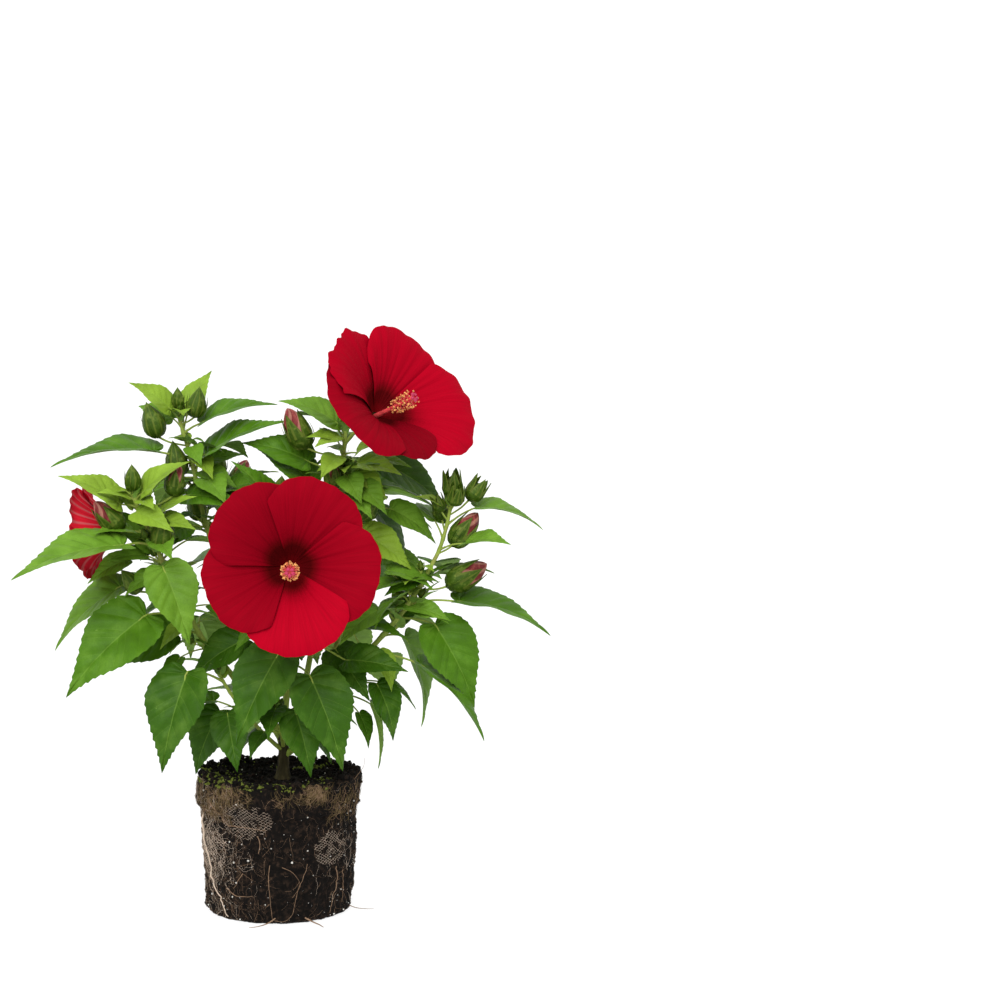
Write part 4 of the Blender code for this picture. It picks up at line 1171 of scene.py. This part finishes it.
# ---- blooms ----------------------------------------------------------------------------------
def seat_and(spec, way):
    """Where a bloom sits and the unit vector of its axis or of its column."""
    return Vector(spec["seat"]), Vector(spec[way]).normalized()


def petal(bundle, spec, index, rng, pleat):
    """One petal: a broad fan from the throat, pleated, its forward edge over its neighbour."""
    seat, axis = seat_and(spec, "axis")
    side, other = axes_about(axis)
    reach = spec["reach"] * spec["petals"][index]
    middle = math.radians(spec["spin"] + 72 * index)
    across, outward = 56, 34
    u = np.linspace(-1, 1, across)[None, :]
    v = np.linspace(0, 1, outward)[:, None] ** 0.9
    phase, swell, bias = rng.uniform(0, 6), rng.uniform(-1, 1), rng.uniform(-0.3, 0.3)
    middle += math.radians(spec.get("turns", (0,) * 5)[index])
    angle = middle + u * np.radians(PETAL_HALF)
    frill = (0.008 * np.sin(7 * u + phase) + 0.005 * np.sin(19 * u - phase)
             + 0.0035 * np.sin(37 * u + 2 * phase)) * spec.get("ragged", {}).get(index, 1)
    back, ahead = spec.get("cuts", {}).get(index, (0.27, 0.27))
    rim = reach * (1 - np.where(u < 0, back, ahead) * np.abs(u) ** 3 + frill)
    radius = THROAT + (rim - THROAT) * v
    folds = (np.sin(30 * u + phase) + 0.6 * np.sin(47 * u - 2 * phase)
             + 0.8 * np.sin(13 * (u + bias)))
    run = np.clip((radius - THROAT) / (spec["reach"] - THROAT), 0, 1)
    lift = (6 + spec["depth"] * (1 - (1 - run) ** spec["cup"]) + 3.1 * u * np.minimum(1.0, 2.0 * v)
            + pleat * folds * np.sin(math.pi * v ** 0.8 * 0.93)
            + 1.2 * swell * np.cos(1.6 * u + bias) * v ** 2
            - 3.2 * np.clip((v - 0.72) / 0.28, 0, 1) ** 2 * (1 + 0.35 * np.sin(7 * u + phase))
            + 0.9 * np.clip((v - 0.86) / 0.14, 0, 1) * np.sin(19 * u + 2 * phase))
    if reach <= FULL_BLOOM:
        lift = lift + 0.6 * np.sin(9 * u + phase) * v
    place = (np.array(side) * (radius * np.cos(angle))[:, :, None]
             + np.array(other) * (radius * np.sin(angle))[:, :, None]
             + np.array(axis) * lift[:, :, None] + np.array(seat))
    normal = np.cross(np.gradient(place, axis=0), np.gradient(place, axis=1))
    normal /= np.linalg.norm(normal, axis=2)[:, :, None] + 1e-9
    facing = normal @ np.array(axis)
    normal[facing < 0] *= -1
    inner = np.ones((outward, across), bool)
    inner[0] = inner[-1] = inner[:, 0] = inner[:, -1] = False
    front, back = place + normal * PETAL_SKIN, place - normal * PETAL_SKIN
    front[~inner] = place[~inner]
    verts = np.concatenate([front.reshape(-1, 3), back[inner]])
    upper, lower = sheet_corners(inner)
    faces = []
    for i in range(outward - 1):
        for k in range(across - 1):
            quad = ((i, k), (i + 1, k), (i + 1, k + 1), (i, k + 1))
            faces.append(tuple(int(upper[q]) for q in quad))
            faces.append(tuple(int(lower[q]) for q in quad[::-1]))
    flat = np.stack([np.broadcast_to(u + PETAL_STEP * index, (outward, across)),
                     np.broadcast_to(v, (outward, across))], axis=2)
    flat = np.concatenate([flat.reshape(-1, 2), flat[inner]])
    bundle.add(verts, faces, [0, 1] * (len(faces) // 2), flat)


def column(bundle, spec, rng):
    """Staminal column: a tube set with stamens over its outer half, and five stigma pads."""
    seat, axis = seat_and(spec, "points")
    axes = axes_about(axis)
    size = spec["column"]
    long = size > 40
    path = [seat + axis * q for q in np.linspace(3, 8 + 0.95 * size, 26)]
    radii = [2.7 - 1.25 * (i / 25) for i in range(26)]
    tube(bundle, path, radii, 14, 0)
    stamens = 78 if long else 40
    for i in range(stamens):
        q = 8 + size * (0.40 + 0.50 * (i + rng.uniform(0, 1)) / stamens)
        out = spoke(axes, GOLDEN_TURN * i + rng.uniform(-0.2, 0.2))
        root = seat + axis * q + out * 1.6
        end = i > 0.74 * stamens
        reach = rng.uniform(6.0, 6.9) if end else rng.uniform(4.0, 6.6)
        tip = root + out * reach + axis * rng.uniform(1.5, 3.4)
        tube(bundle, [root, (root + tip) / 2 + axis * 0.5, tip], (0.30, 0.24, 0.20), 4, 0)
        lump(bundle, tip + out * 0.4, rng.uniform(1.05, 1.40), rng,
             1 if end or rng.random() < 0.66 else 2, (1.25, 0.9, 0.85))
    crown = seat + axis * (8 + 0.93 * size)
    for i in range(5):
        out = spoke(axes, math.tau * (i + 0.2) / 5)
        pad = crown + out * 3.3 + axis * (3.4 if long else 2.0)
        tube(bundle, [crown, crown + out * 1.5 + axis * 1.6, pad], (0.6, 0.5, 0.5), 6, 0)
        stigma_pad(bundle, pad, (axis + out * 0.25).normalized(), 1.9, rng)


def stigma_pad(bundle, centre, axis, radius, rng):
    """Round pad covered with short hairs."""
    lathe(bundle, centre - axis * 0.7, axis, ((0, 0.3), (0.3, 0.8 * radius), (0.8, radius),
                                              (1.3, 0.8 * radius), (1.55, 0.3)), 10, 3)
    axes = axes_about(axis)
    for i in range(22):
        out, r = spoke(axes, 2.4 * i), radius * math.sqrt((i + 0.5) / 22)
        root = centre + out * r * 0.9 + axis * 0.4
        tube(bundle, [root, root + (axis + out * 0.6) * rng.uniform(0.6, 1.1)], (0.14, 0.05), 3, 3)


def sepals(bundle, spec, rng):
    """Calyx behind a bloom: a cup with five pointed lobes, ringed by narrow leaflets."""
    seat, axis = seat_and(spec, "axis")
    lathe(bundle, seat, axis, ((-18.5, 2.0), (-17, 4.4), (-13, 7.2), (-8, 8.6), (-3, 9.0),
                               (2, 9.2), (2.4, 7.0)), 40, SEPAL)
    for i in range(5):
        rows = [(-2 + 15 * t, 9.0 + 10.0 * t ** 1.35, 37 * (1 - t ** 1.5) + 0.8)
                for t in (0, 0.14, 0.28, 0.42, 0.56, 0.7, 0.84, 0.94, 1)]
        lobe(bundle, seat, axis, math.tau * (i + 0.3) / 5, rows, 0.6)
    bractlets(bundle, seat - axis * 17.5, axis, 7.0, 19, 11, rng)


def bloom(name, index):
    """Petals, column, calyx and stalk of one bloom."""
    spec = BLOOMS[name]
    look = settings("blooms")
    rng = random.Random(500 + index)
    petals = Bundle()
    for i in range(5):
        petal(petals, spec, i, rng, look.pleat / MM)
    colour, eye = tuple(look.petal), tuple(look.eye)
    # both faces carry each petal's painted light and shade factors
    inside = petal_material("petal_face_" + name, colour, eye, 0.0,
                            spec.get("inner", spec["painted_shades"]))
    outside = petal_material("petal_back_" + name, blend(colour, (0.35, 0.020, 0.028), 0.25),
                             blend(eye, colour, 0.6), spec["ribs"], spec["painted_shades"])
    petals.build("petals_" + name, [inside, outside], "petal", ["bloom_" + name], 70, "across")
    middle = Bundle()
    column(middle, spec, rng)
    middle.build("column_" + name, column_materials(), "petal", ["bloom_" + name])
    cup = Bundle()
    sepals(cup, spec, rng)
    seat, axis = seat_and(spec, "axis")
    _, stem, _ = limb_lines(SHOOTS[spec["shoot"]])
    start, _ = along(stem, spec["along"])
    back = seat - axis * 17
    bend = (start + back) / 2 - axis * 4 + UP * 1.5
    path = spline([start, bend, back, back + axis * 2], 3.5)
    tube(cup, path, [1.75 + 0.5 * (i / (len(path) - 1)) ** 3 for i in range(len(path))], 12, 2)
    cup.build("calyx_" + name, [stem_material(key) for key in ("sepal", "rib", "stalk")], "leaf",
              ["foliage_" + spec["shoot"]])


def column_materials():
    """Tube and filaments, two shades of anther, and stigma, made once."""
    names = ("column_tube", "anther", "anther_rust", "stigma")
    if names[0] in bpy.data.materials:
        return [bpy.data.materials[name] for name in names]
    look = settings("blooms")
    anther = tuple(look.anther)
    return [grained("column_tube", (0.62, 0.055, 0.060), 0.45, 300, 0.3, 0.2, 2000)[0],
            # the anthers' pale peach patches are partly pollen's own tone and partly a painted
            # highlight
            grained("anther", anther, 0.75, 900, 0.25, 0.9, 3500, tint=(0.95, 0.52, 0.16))[0],
            grained("anther_rust", blend(anther, (0.55, 0.05, 0.02), 0.6), 0.75, 900, 0.3, 0.9,
                    3500)[0],
            grained("stigma", tuple(look.stigma), 0.60, 700, 0.25, 0.5, 3000)[0]]


# ---- trunk -----------------------------------------------------------------------------------
def radius_at(rows, place):
    """Radius at a place in rows of (place, radius) joined by straight lines."""
    for (a, ra), (b, rb) in zip(rows, rows[1:]):
        if place <= b:
            return ra + (rb - ra) * (place - a) / (b - a)
    return rows[-1][1]


def bark_relief(part, run, radius):
    """Furrows along the bark, leaf scars across it and a lobed foot."""
    a = math.tau * part
    place = Vector((math.cos(a) * 3.4, math.sin(a) * 3.4, run / 13))
    furrow = 0.42 * (1 - abs(2 * noise.noise(place))) ** 3 - 0.20
    scar = 0.30 * math.exp(-(((run + 6 * part) % 17 - 8) / 0.9) ** 2)
    foot = 1.5 * math.exp(-run / 5.0) * (0.4 + math.cos(5 * a + 1.0) + 0.5 * math.cos(3 * a))
    return furrow + scar + foot + 0.15 * noise.noise(place * 5)


# ---- root ball -------------------------------------------------------------------------------
def ripple(angle, height):
    """Lumpy soil: a few waves that close round the ball."""
    return (0.9 * math.sin(3 * angle + height / 17) + 0.7 * math.sin(7 * angle - height / 9)
            + 0.5 * math.sin(11 * angle + height / 6))


def plan(angle, radius):
    """Place in plan for a heading in radians, 0 toward -Y."""
    return radius * math.sin(angle), -radius * math.cos(angle)


def round_noise(angle, size, height):
    """Noise that closes round the ball; the greater the size, the finer it is."""
    return noise.noise(Vector((math.sin(angle) * size, math.cos(angle) * size, height)))


def rim_rise(angle):
    """How far the rim stands above the soil's level, most at the left and the right."""
    place = Vector((math.sin(angle) * 4.5, math.cos(angle) * 4.5, 6))
    return max(0.0, 2.2 + 2.4 * abs(math.sin(angle)) + 1.2 * math.exp(-(angle + 1.6) ** 2 / 0.3)
               + 3.4 * noise.noise(place) + 1.8 * noise.noise(place * 3.3))


def soil_point(angle, height, out=0.0):
    """Point on the side of the ball, with its crumbly skin."""
    relief = settings("soil").relief / MM
    around = Vector((*plan(angle, RIM), height))
    rough = (noise.fractal(around / 9.0, 0.9, 2.1, 4) * relief
             + noise.noise(around / 2.6) * 0.45 * relief)
    r = (radius_at(BALL_PROFILE, height)
         + 0.8 * ripple(angle, height) * min(1.0, 0.3 + height / 10) + rough + out)
    drop = 0.0
    if height > 104:
        drop = (1.6 * round_noise(angle, 5, 3) + 1.4 * round_noise(angle, 14, height / 9)
                + rim_rise(angle) * max(0.0, (height - 116) / 21))
    return Vector((*plan(angle, r), max(0.0, height + drop)))


def soil_top(x, y):
    """Height of the soil's top: crumbly, heaped at the lip, level where the trunk stands."""
    far = min(1.0, max(0.0, (math.hypot(x - 4, y) - 12) / 12))
    lip = min(1.0, max(0.0, (math.hypot(x, y) - 50) / 24))
    rough = (3.0 * noise.fractal(Vector((x, y, 7)) / 11.0, 0.8, 2.2, 4)
             + 1.8 * abs(noise.noise(Vector((x, y, 2)) / 3.4)))
    heap = 4.5 * max(0.0, noise.noise(Vector((x, y, 30)) / 15.0) + 0.15)
    return (BALL_TOP - 0.5 + far * (rough + 0.8)
            + lip * (heap + 0.5 + lip * rim_rise(math.atan2(x, -y))))


def soil_body(bundle):
    """Side, lip, top and flat underside of the ball as one closed skin."""
    around = 300
    heights = [0.0, 0.6] + [1.2 + 1.2 * i for i in range(112)]
    verts = []
    for radius in (20, 45, 66):
        verts += [Vector((*plan(math.tau * k / around, radius), 0.0)) for k in range(around)]
    for height in heights:
        verts += [soil_point(math.tau * k / around, height) for k in range(around)]
    rim = [soil_point(math.tau * k / around, 137.0) for k in range(around)]
    for i in range(1, 46):
        part = 1 - i / 46
        for point in rim:
            x, y = point.x * part, point.y * part
            ease = min(1.0, i / 5)
            verts.append(Vector((x, y, point.z + (soil_top(x, y) - point.z) * ease)))
    bundle.add(verts, ring_faces(len(verts) // around, around))


def soil_crumbs(soil, grains, moss, rng):
    """Crumbs, white grains and moss on the top and the side of the ball."""
    for i in range(1150):
        a, r = rng.uniform(0, math.tau), RIM * math.sqrt(rng.random())
        size = rng.choice((1.0, 1.4, 1.9, 2.6)) * rng.uniform(0.8, 1.2)
        if i < 190:
            r, size = rng.uniform(68, 81), rng.uniform(2.0, 4.2)
        x, y = plan(a, r)
        if math.hypot(x - 4, y) > 12:
            lump(soil, (x, y, soil_top(x, y) + 0.3 * size), size, rng)
    for _ in range(620):
        a = rng.uniform(0, math.tau)
        height = rng.choice((rng.uniform(1, 130), rng.uniform(104, 138)))
        size = rng.uniform(0.7, 1.9)
        point = soil_point(a, height, -0.2)
        point.z = max(point.z, 1.3 * size)
        lump(soil, point, size, rng)
    for _ in range(300):
        a, height = rng.uniform(0, math.tau), rng.uniform(3, 128)
        size = rng.choice((0.25, 0.3, 0.35, 0.45, 0.6, 1.0)) * rng.uniform(0.7, 1.3)
        lump(grains, soil_point(a, height, 0.15), size, rng)
    for _ in range(26):
        a, r = rng.uniform(0, math.tau), rng.uniform(16, 76)
        x, y = plan(a, r)
        lump(grains, (x, y, soil_top(x, y) + 0.9), rng.uniform(0.5, 1.0), rng)
    for i in range(150):
        a = (rng.uniform(0, math.tau) if i < 40 else rng.gauss(-0.95, 0.35) if i < 100
             else rng.gauss(-0.12, 0.3))
        r = rng.uniform(40 if i < 40 else 60, 80)
        moss_tuft(moss, *plan(a, r), rng)


def moss_tuft(bundle, x, y, rng):
    """A low cushion of short green blades."""
    for _ in range(rng.randint(5, 10)):
        px, py = x + rng.gauss(0, 3.4), y + rng.gauss(0, 2.6)
        root = Vector((px, py, (soil_top(px, py) if math.hypot(px, py) < RIM else 137.5)))
        lean = Vector((rng.uniform(-1, 1), rng.uniform(-1, 1), rng.uniform(0.3, 0.9))).normalized()
        size = rng.uniform(2.4, 5.6)
        tube(bundle, [root, root + lean * size * 0.6, root + (lean - UP * 0.25) * size],
             (0.70, 0.95, 0.16), 4)


ROOT, PALE_ROOT, BROWN_ROOT = range(3)


def crowding(angle):
    """How thickly fine roots grow: most at the ball's left, far less at its right."""
    return -math.sin(angle) if math.sin(angle) < 0 else 0.13 * math.sin(angle)


def fine_roots(bundle, count, rng):
    """Hair-thin roots that wander over the side of the ball, sparse under its lip and foot."""
    for _ in range(count):
        a = rng.uniform(-math.pi, math.pi)
        while crowding(a) < rng.uniform(-0.12, 0.8):
            a = rng.uniform(-math.pi, math.pi)
        height = rng.uniform(3, 134)
        sparse = 0.75 if height > 86 and -0.85 < a < 0 else 0.35 if height < 46 else 0
        if rng.random() < sparse:
            continue
        heading = rng.choice((rng.gauss(-1.57, 0.5), rng.uniform(-math.pi, math.pi)))
        step, steps = rng.uniform(1.8, 3.2), rng.randint(4, 9)
        size = rng.choice((0.05, 0.07, 0.09, 0.14))
        inner = abs(math.sin(a)) < rng.uniform(0.25, 0.7)
        path = []
        for i in range(steps):
            path.append(soil_point(a, min(136.0, max(1.5, height)),
                                   0.3 + 0.3 * math.sin(2.2 * i + a * 9) + size))
            heading += rng.gauss(0, 0.30)
            a += step * math.cos(heading) / RIM
            height += step * math.sin(heading)
        if inner:
            kinds = (ROOT, BROWN_ROOT, BROWN_ROOT)
        elif math.sin(a) < 0 and height > 50:
            kinds = (ROOT, PALE_ROOT, PALE_ROOT, PALE_ROOT, BROWN_ROOT)
        else:
            kinds = (ROOT, ROOT, PALE_ROOT, BROWN_ROOT, BROWN_ROOT)
        tube(bundle, path, [size * (1.0 - 0.5 * i / steps) for i in range(steps)], 3,
             rng.choice(kinds))


# matted fibres: heading in degrees, height, half width in degrees, half height, count
MATS = ((27, 134, 8, 6, 190), (-58, 121, 20, 15, 300), (58, 120, 20, 14, 150),
        (-34, 131, 14, 6, 110), (8, 131, 14, 6, 60), (110, 120, 36, 14, 170),
        (180, 120, 36, 14, 170), (-120, 120, 36, 14, 170))


def fibre_mats(bundle, rng):
    """Curled fibres, matted in patches under the lip, most of them hanging."""
    for middle, level, wide, tall, count in MATS:
        for _ in range(count):
            a = math.radians(middle + wide * rng.uniform(-1, 1))
            height = level + tall * rng.uniform(-1, 1)
            heading, bend = rng.gauss(-1.57, 0.9), rng.gauss(0, 0.35)
            step, size = rng.uniform(1.5, 2.8), rng.uniform(0.09, 0.20)
            path = []
            for i in range(6):
                path.append(soil_point(a, min(139.0, height), 0.4 + 0.9 * math.sin(0.6 * i)))
                a += step * math.cos(heading) / RIM
                height += step * math.sin(heading)
                heading += bend
            tube(bundle, path, [size * q for q in (0.8, 1.0, 1.0, 0.9, 0.7, 0.3)], 3,
                 rng.choice((0, 0, 1)))


# long roots: points as (heading in degrees, height), and the greatest radius
LONG_ROOTS = (
    (((-76, 104), (-73, 84), (-69, 67), (-61, 39), (-50, 15), (-44, 4)), 0.95),
    (((-7, 62), (-8, 48), (-7, 30), (-6, 14), (-5, 3)), 0.36),
    (((-16, 92), (-14, 84), (-15, 74)), 0.5),
    (((21, 62), (18, 48), (15, 38), (12, 23), (10, 11), (4, 4), (-6, 5)), 0.30),
    (((-28, 52), (-34, 40), (-38, 34)), 0.42),
    (((-44, 34), (-36, 28), (-26, 28), (-20, 30)), 0.42),
    (((48, 54), (50, 40), (46, 24), (44, 6)), 0.48), (((56, 48), (60, 32), (58, 14)), 0.38),
    (((-58, 122), (-50, 112), (-44, 102), (-38, 99)), 0.7),
    (((-40, 100), (-24, 99), (-10, 98)), 0.45),
    (((2, 60), (10, 54), (16, 40), (10, 28)), 0.28),
    (((120, 110), (128, 80), (126, 50), (140, 20), (150, 4)), 0.9),
    (((200, 90), (192, 60), (204, 34), (196, 8)), 0.8),
    (((236, 120), (228, 84), (238, 44), (226, 10)), 0.9),
    (((165, 70), (176, 48), (172, 24), (184, 6)), 0.6), (((262, 80), (254, 50), (262, 20)), 0.7),
)
# roots that stick out: points as (x, y, z)
LOOSE_ROOTS = (
    (((-4, -74, 7), (-12, -79, 3.0), (-22, -83, 1.2), (-30, -85, 0.9)), 0.7),
    (((26, -70, 6), (34, -74, 2.6), (40, -80, 1.5), (44, -88, 1.0)), 0.9),
    (((70, -20, 6), (78, -22, 3.0), (88, -24, 2.0), (97, -23, 1.6)), 0.5),
    (((74, -24, 134), (80, -27, 143), (86, -28, 152), (87, -28, 161)), 0.35),
    (((-70, 40, 60), (-76, 43, 56), (-80, 44, 50)), 0.5),
    (((20, 76, 24), (24, 82, 18), (26, 85, 10)), 0.5),
)


def long_roots(bundle):
    """Long roots pressed against the side, and a few ends that stick out."""
    for points, size in LONG_ROOTS:
        flat = spline([Vector((math.radians(a) * GIRTH, z, 0)) for a, z in points], 3.0)
        path = [soil_point(p.x / GIRTH, max(1.2, p.y), 0.35 + 0.5 * size) for p in flat]
        tube(bundle, path, taper(path, size, 0.55), 7, ROOT if size < 0.9 else PALE_ROOT,
             relief=lambda part, run, radius: 0.18 * radius * math.sin(run * 1.3 + 5 * part))
    for points, size in LOOSE_ROOTS:
        path = spline(points, 3.0)
        tube(bundle, path, taper(path, size, 0.6), 6, ROOT, pointed=True)


# scraps of net: middle heading, middle height, half width, half height, lean of its threads
NET_SCRAPS = ((-25, 106, 28, 19, 0.10), (-62, 68, 26, 32, -0.25), (42, 75, 22, 18, 0.20),
              (128, 84, 34, 26, 0.1), (214, 70, 40, 28, -0.1))


def net_scraps(bundle, rng):
    """Scraps of fine net left round the ball: two families of threads that cross."""
    pitch, size = 3.4, 0.078
    for heading, height, wide, tall, lean in NET_SCRAPS:
        middle = math.radians(heading) * GIRTH
        for way in (-1, 1):
            slope = way * (0.68 + 0.5 * way * lean)
            reach = int((wide + tall) / pitch)
            for i in range(-reach, reach + 1):
                thread(bundle, middle, height, i * pitch * 1.35, slope, wide, tall, size, rng)


def thread(bundle, middle, height, shift, slope, wide, tall, size, rng):
    """One thread of the net, cut where the scrap ends and broken here and there."""
    path = []
    for k in range(61):
        x = -wide + 2 * wide * k / 60
        z = slope * (x - shift)
        edge = 1.0 + 0.22 * noise.noise(Vector((x / 9, z / 9, middle / 30)))
        inside = (x / wide) ** 2 + (z / tall) ** 2 < edge and noise.noise(
            Vector((x / 6 + 40, z / 6, middle / 50))) > -0.28
        if inside:
            warp = 1.6 * noise.noise(Vector((x / 22, z / 22, 9)))
            a, level = (middle + x + warp) / GIRTH, height + z + warp
            r = radius_at(BALL_PROFILE, level) + 0.8 * ripple(a, level) + 1.1
            path.append(Vector((*plan(a, r), level)))
        if (not inside or k == 60) and path:
            if len(path) > 2:
                tube(bundle, path, [size * rng.uniform(0.85, 1.1)] * len(path), 3, PALE_ROOT)
            path = []


# ---- operators -------------------------------------------------------------------------------
class SHRUB_OT_root_ball(bpy.types.Operator):
    """Soil of the root ball with its crumbs, grains, moss, roots and scraps of net"""
    bl_idname = "shrub.root_ball"
    bl_label = "Root Ball"

    def execute(self, context):
        look = settings("soil")
        rng = random.Random(7)
        soil, crumbs, grains, moss, roots, hair, mats, net = (Bundle() for _ in range(8))
        soil_body(soil)
        soil_crumbs(crumbs, grains, moss, rng)
        fine_roots(roots, 1900, rng)
        fine_roots(hair, 1900, rng)
        long_roots(roots)
        fibre_mats(mats, rng)
        net_scraps(net, rng)
        peat = soil_material("peat", look.dark, 0.62, look.brown, 0.10, bump=1.0)
        perlite = soil_material("perlite", look.perlite, 0.12)
        green = soil_material("moss", look.moss, 0.5, (0.16, 0.19, 0.04))
        fibre = soil_material("fibre", look.fibre, 0.5)
        threads = [soil_material("root", look.root, 0.35),
                   soil_material("pale_root", look.pale_root, 0.25),
                   soil_material("brown_root", look.brown, 0.35)]
        for bundle, name, materials, sharp in (
                (soil, "soil", [peat], 75), (crumbs, "crumbs", [peat], 30),
                (grains, "grains", [perlite], 30), (moss, "moss", [green], 75),
                (roots, "roots", threads, 75), (hair, "hair_roots", threads, 75),
                (mats, "fibre_mats", [fibre, threads[ROOT]], 75),
                (net, "net_scraps", threads, 75)):
            bundle.build(name, materials, "soil", ["root_ball"], sharp)
        return {"FINISHED"}


class SHRUB_OT_trunk(bpy.types.Operator):
    """Woody foot of the shrub with its bark"""
    bl_idname = "shrub.trunk"
    bl_label = "Trunk"

    def execute(self, context):
        path = spline(TRUNK_PATH, 0.9)
        path[0] = path[0] - UP * 1.2
        path[-1] = path[-1] + UP * SEAT
        total = runs_of(path)[-1]
        trunk = Bundle()
        tube(trunk, path, [radius_at(TRUNK_RADII, run / total) for run in runs_of(path)], 48,
             relief=bark_relief)
        trunk.build("trunk_bark", [stem_material("bark")], "bark", ["trunk"], 60)
        return {"FINISHED"}


class SHRUB_OT_foliage(bpy.types.Operator):
    """Boughs, twigs, leaves and buds of every shoot"""
    bl_idname = "shrub.foliage"
    bl_label = "Foliage"

    def execute(self, context):
        for index, name in enumerate(SHOOTS):
            grow_shoot(name, index)
        return {"FINISHED"}


class SHRUB_OT_blooms(bpy.types.Operator):
    """The two full blooms and the one that is opening"""
    bl_idname = "shrub.blooms"
    bl_label = "Blooms"

    def execute(self, context):
        for index, name in enumerate(BLOOMS):
            bloom(name, index)
        return {"FINISHED"}


class SHRUB_OT_stage(bpy.types.Operator):
    """Pale floor, soft light and the camera"""
    bl_idname = "shrub.stage"
    bl_label = "Stage"

    AIM = Vector((0.2265, 0.0, 0.4232))
    ROLL = 0.5
    FLOOR_SIZE = 60.0
    FLOOR_GLOW = 0.86
    BACKDROP = 1.4
    KEY_FROM = Vector((-0.25, -0.90, 0.80))
    KEY_SOFTNESS = 46

    def execute(self, context):
        look = settings("stage")
        scene = context.scene
        bpy.ops.object.select_all(action="DESELECT")
        bpy.ops.mesh.primitive_plane_add(size=self.FLOOR_SIZE, location=(0, 0, -0.0002))
        floor = context.object
        floor.name = "floor"
        plaster, shader = grained("floor", tuple(look.floor), 0.85, 3, 0.01, 0.0, 10)
        shader.inputs["Specular IOR Level"].default_value = 0.1
        shader.inputs["Emission Color"].default_value = (1.0, 1.0, 1.0, 1.0)
        shader.inputs["Emission Strength"].default_value = self.FLOOR_GLOW
        floor.data.materials.append(plaster)
        self.lights(scene, look)
        self.camera(scene, look)
        scene.view_settings.view_transform = "Standard"
        return {"FINISHED"}

    def lights(self, scene, look):
        world = bpy.data.worlds.new("studio")
        world.use_nodes = True
        tree = world.node_tree
        soft = tree.nodes["Background"]
        soft.inputs["Color"].default_value = (1.0, 1.0, 1.0, 1.0)
        soft.inputs["Strength"].default_value = look.sky
        shown = tree.nodes.new("ShaderNodeBackground")
        shown.inputs["Strength"].default_value = self.BACKDROP
        rays = tree.nodes.new("ShaderNodeLightPath")
        choice = tree.nodes.new("ShaderNodeMixShader")
        tree.links.new(rays.outputs["Is Camera Ray"], choice.inputs["Fac"])
        tree.links.new(soft.outputs["Background"], choice.inputs[1])
        tree.links.new(shown.outputs["Background"], choice.inputs[2])
        tree.links.new(choice.outputs["Shader"], tree.nodes["World Output"].inputs["Surface"])
        scene.world = world
        sun = bpy.data.lights.new("key", "SUN")
        sun.energy = look.sun
        sun.angle = math.radians(self.KEY_SOFTNESS)
        key = bpy.data.objects.new("key", sun)
        key.rotation_euler = self.KEY_FROM.to_track_quat("Z", "Y").to_euler()
        scene.collection.objects.link(key)

    def camera(self, scene, look):
        lens = bpy.data.cameras.new("camera")
        lens.lens = look.lens
        camera = bpy.data.objects.new("camera", lens)
        place = Vector((0.0, -look.distance, look.height))
        ahead = (self.AIM - place).normalized()
        right = ahead.cross(UP).normalized()
        top = right.cross(ahead)
        roll = math.radians(self.ROLL)
        right, top = (right * math.cos(roll) + top * math.sin(roll),
                      top * math.cos(roll) - right * math.sin(roll))
        turn = Matrix((right, top, -ahead)).transposed()
        camera.matrix_world = Matrix.Translation(place) @ turn.to_4x4()
        scene.collection.objects.link(camera)
        scene.camera = camera


class SHRUB_PT_panel(bpy.types.Panel):
    """Lists the steps that make the shrub"""
    bl_idname = "SHRUB_PT_panel"
    bl_label = "Hibiscus Shrub"
    bl_space_type = "VIEW_3D"
    bl_region_type = "UI"
    bl_category = "Shrub"

    def draw(self, context):
        for step in STEPS:
            self.layout.operator(step.bl_idname)
        for name, group in SETTINGS.items():
            box = self.layout.box()
            box.label(text=name.capitalize())
            for key in group.__annotations__:
                box.prop(getattr(context.scene, "shrub_" + name), key)


SETTINGS = {"leaves": LeafSettings, "blooms": BloomSettings, "stems": StemSettings,
            "soil": SoilSettings, "stage": StageSettings}
STEPS = (SHRUB_OT_stage, SHRUB_OT_root_ball, SHRUB_OT_trunk, SHRUB_OT_foliage, SHRUB_OT_blooms)


def register():
    for group in (*SETTINGS.values(), *STEPS, SHRUB_PT_panel):
        bpy.utils.register_class(group)
    for name, group in SETTINGS.items():
        setattr(bpy.types.Scene, "shrub_" + name, bpy.props.PointerProperty(type=group))


def unregister():
    for name in SETTINGS:
        delattr(bpy.types.Scene, "shrub_" + name)
    for group in (SHRUB_PT_panel, *STEPS, *SETTINGS.values()):
        bpy.utils.unregister_class(group)


def main():
    register()
    bpy.ops.shrub.stage()
    bpy.ops.shrub.root_ball()
    bpy.ops.shrub.trunk()
    bpy.ops.shrub.foliage()
    bpy.ops.shrub.blooms()


if __name__ == "__main__":
    main()
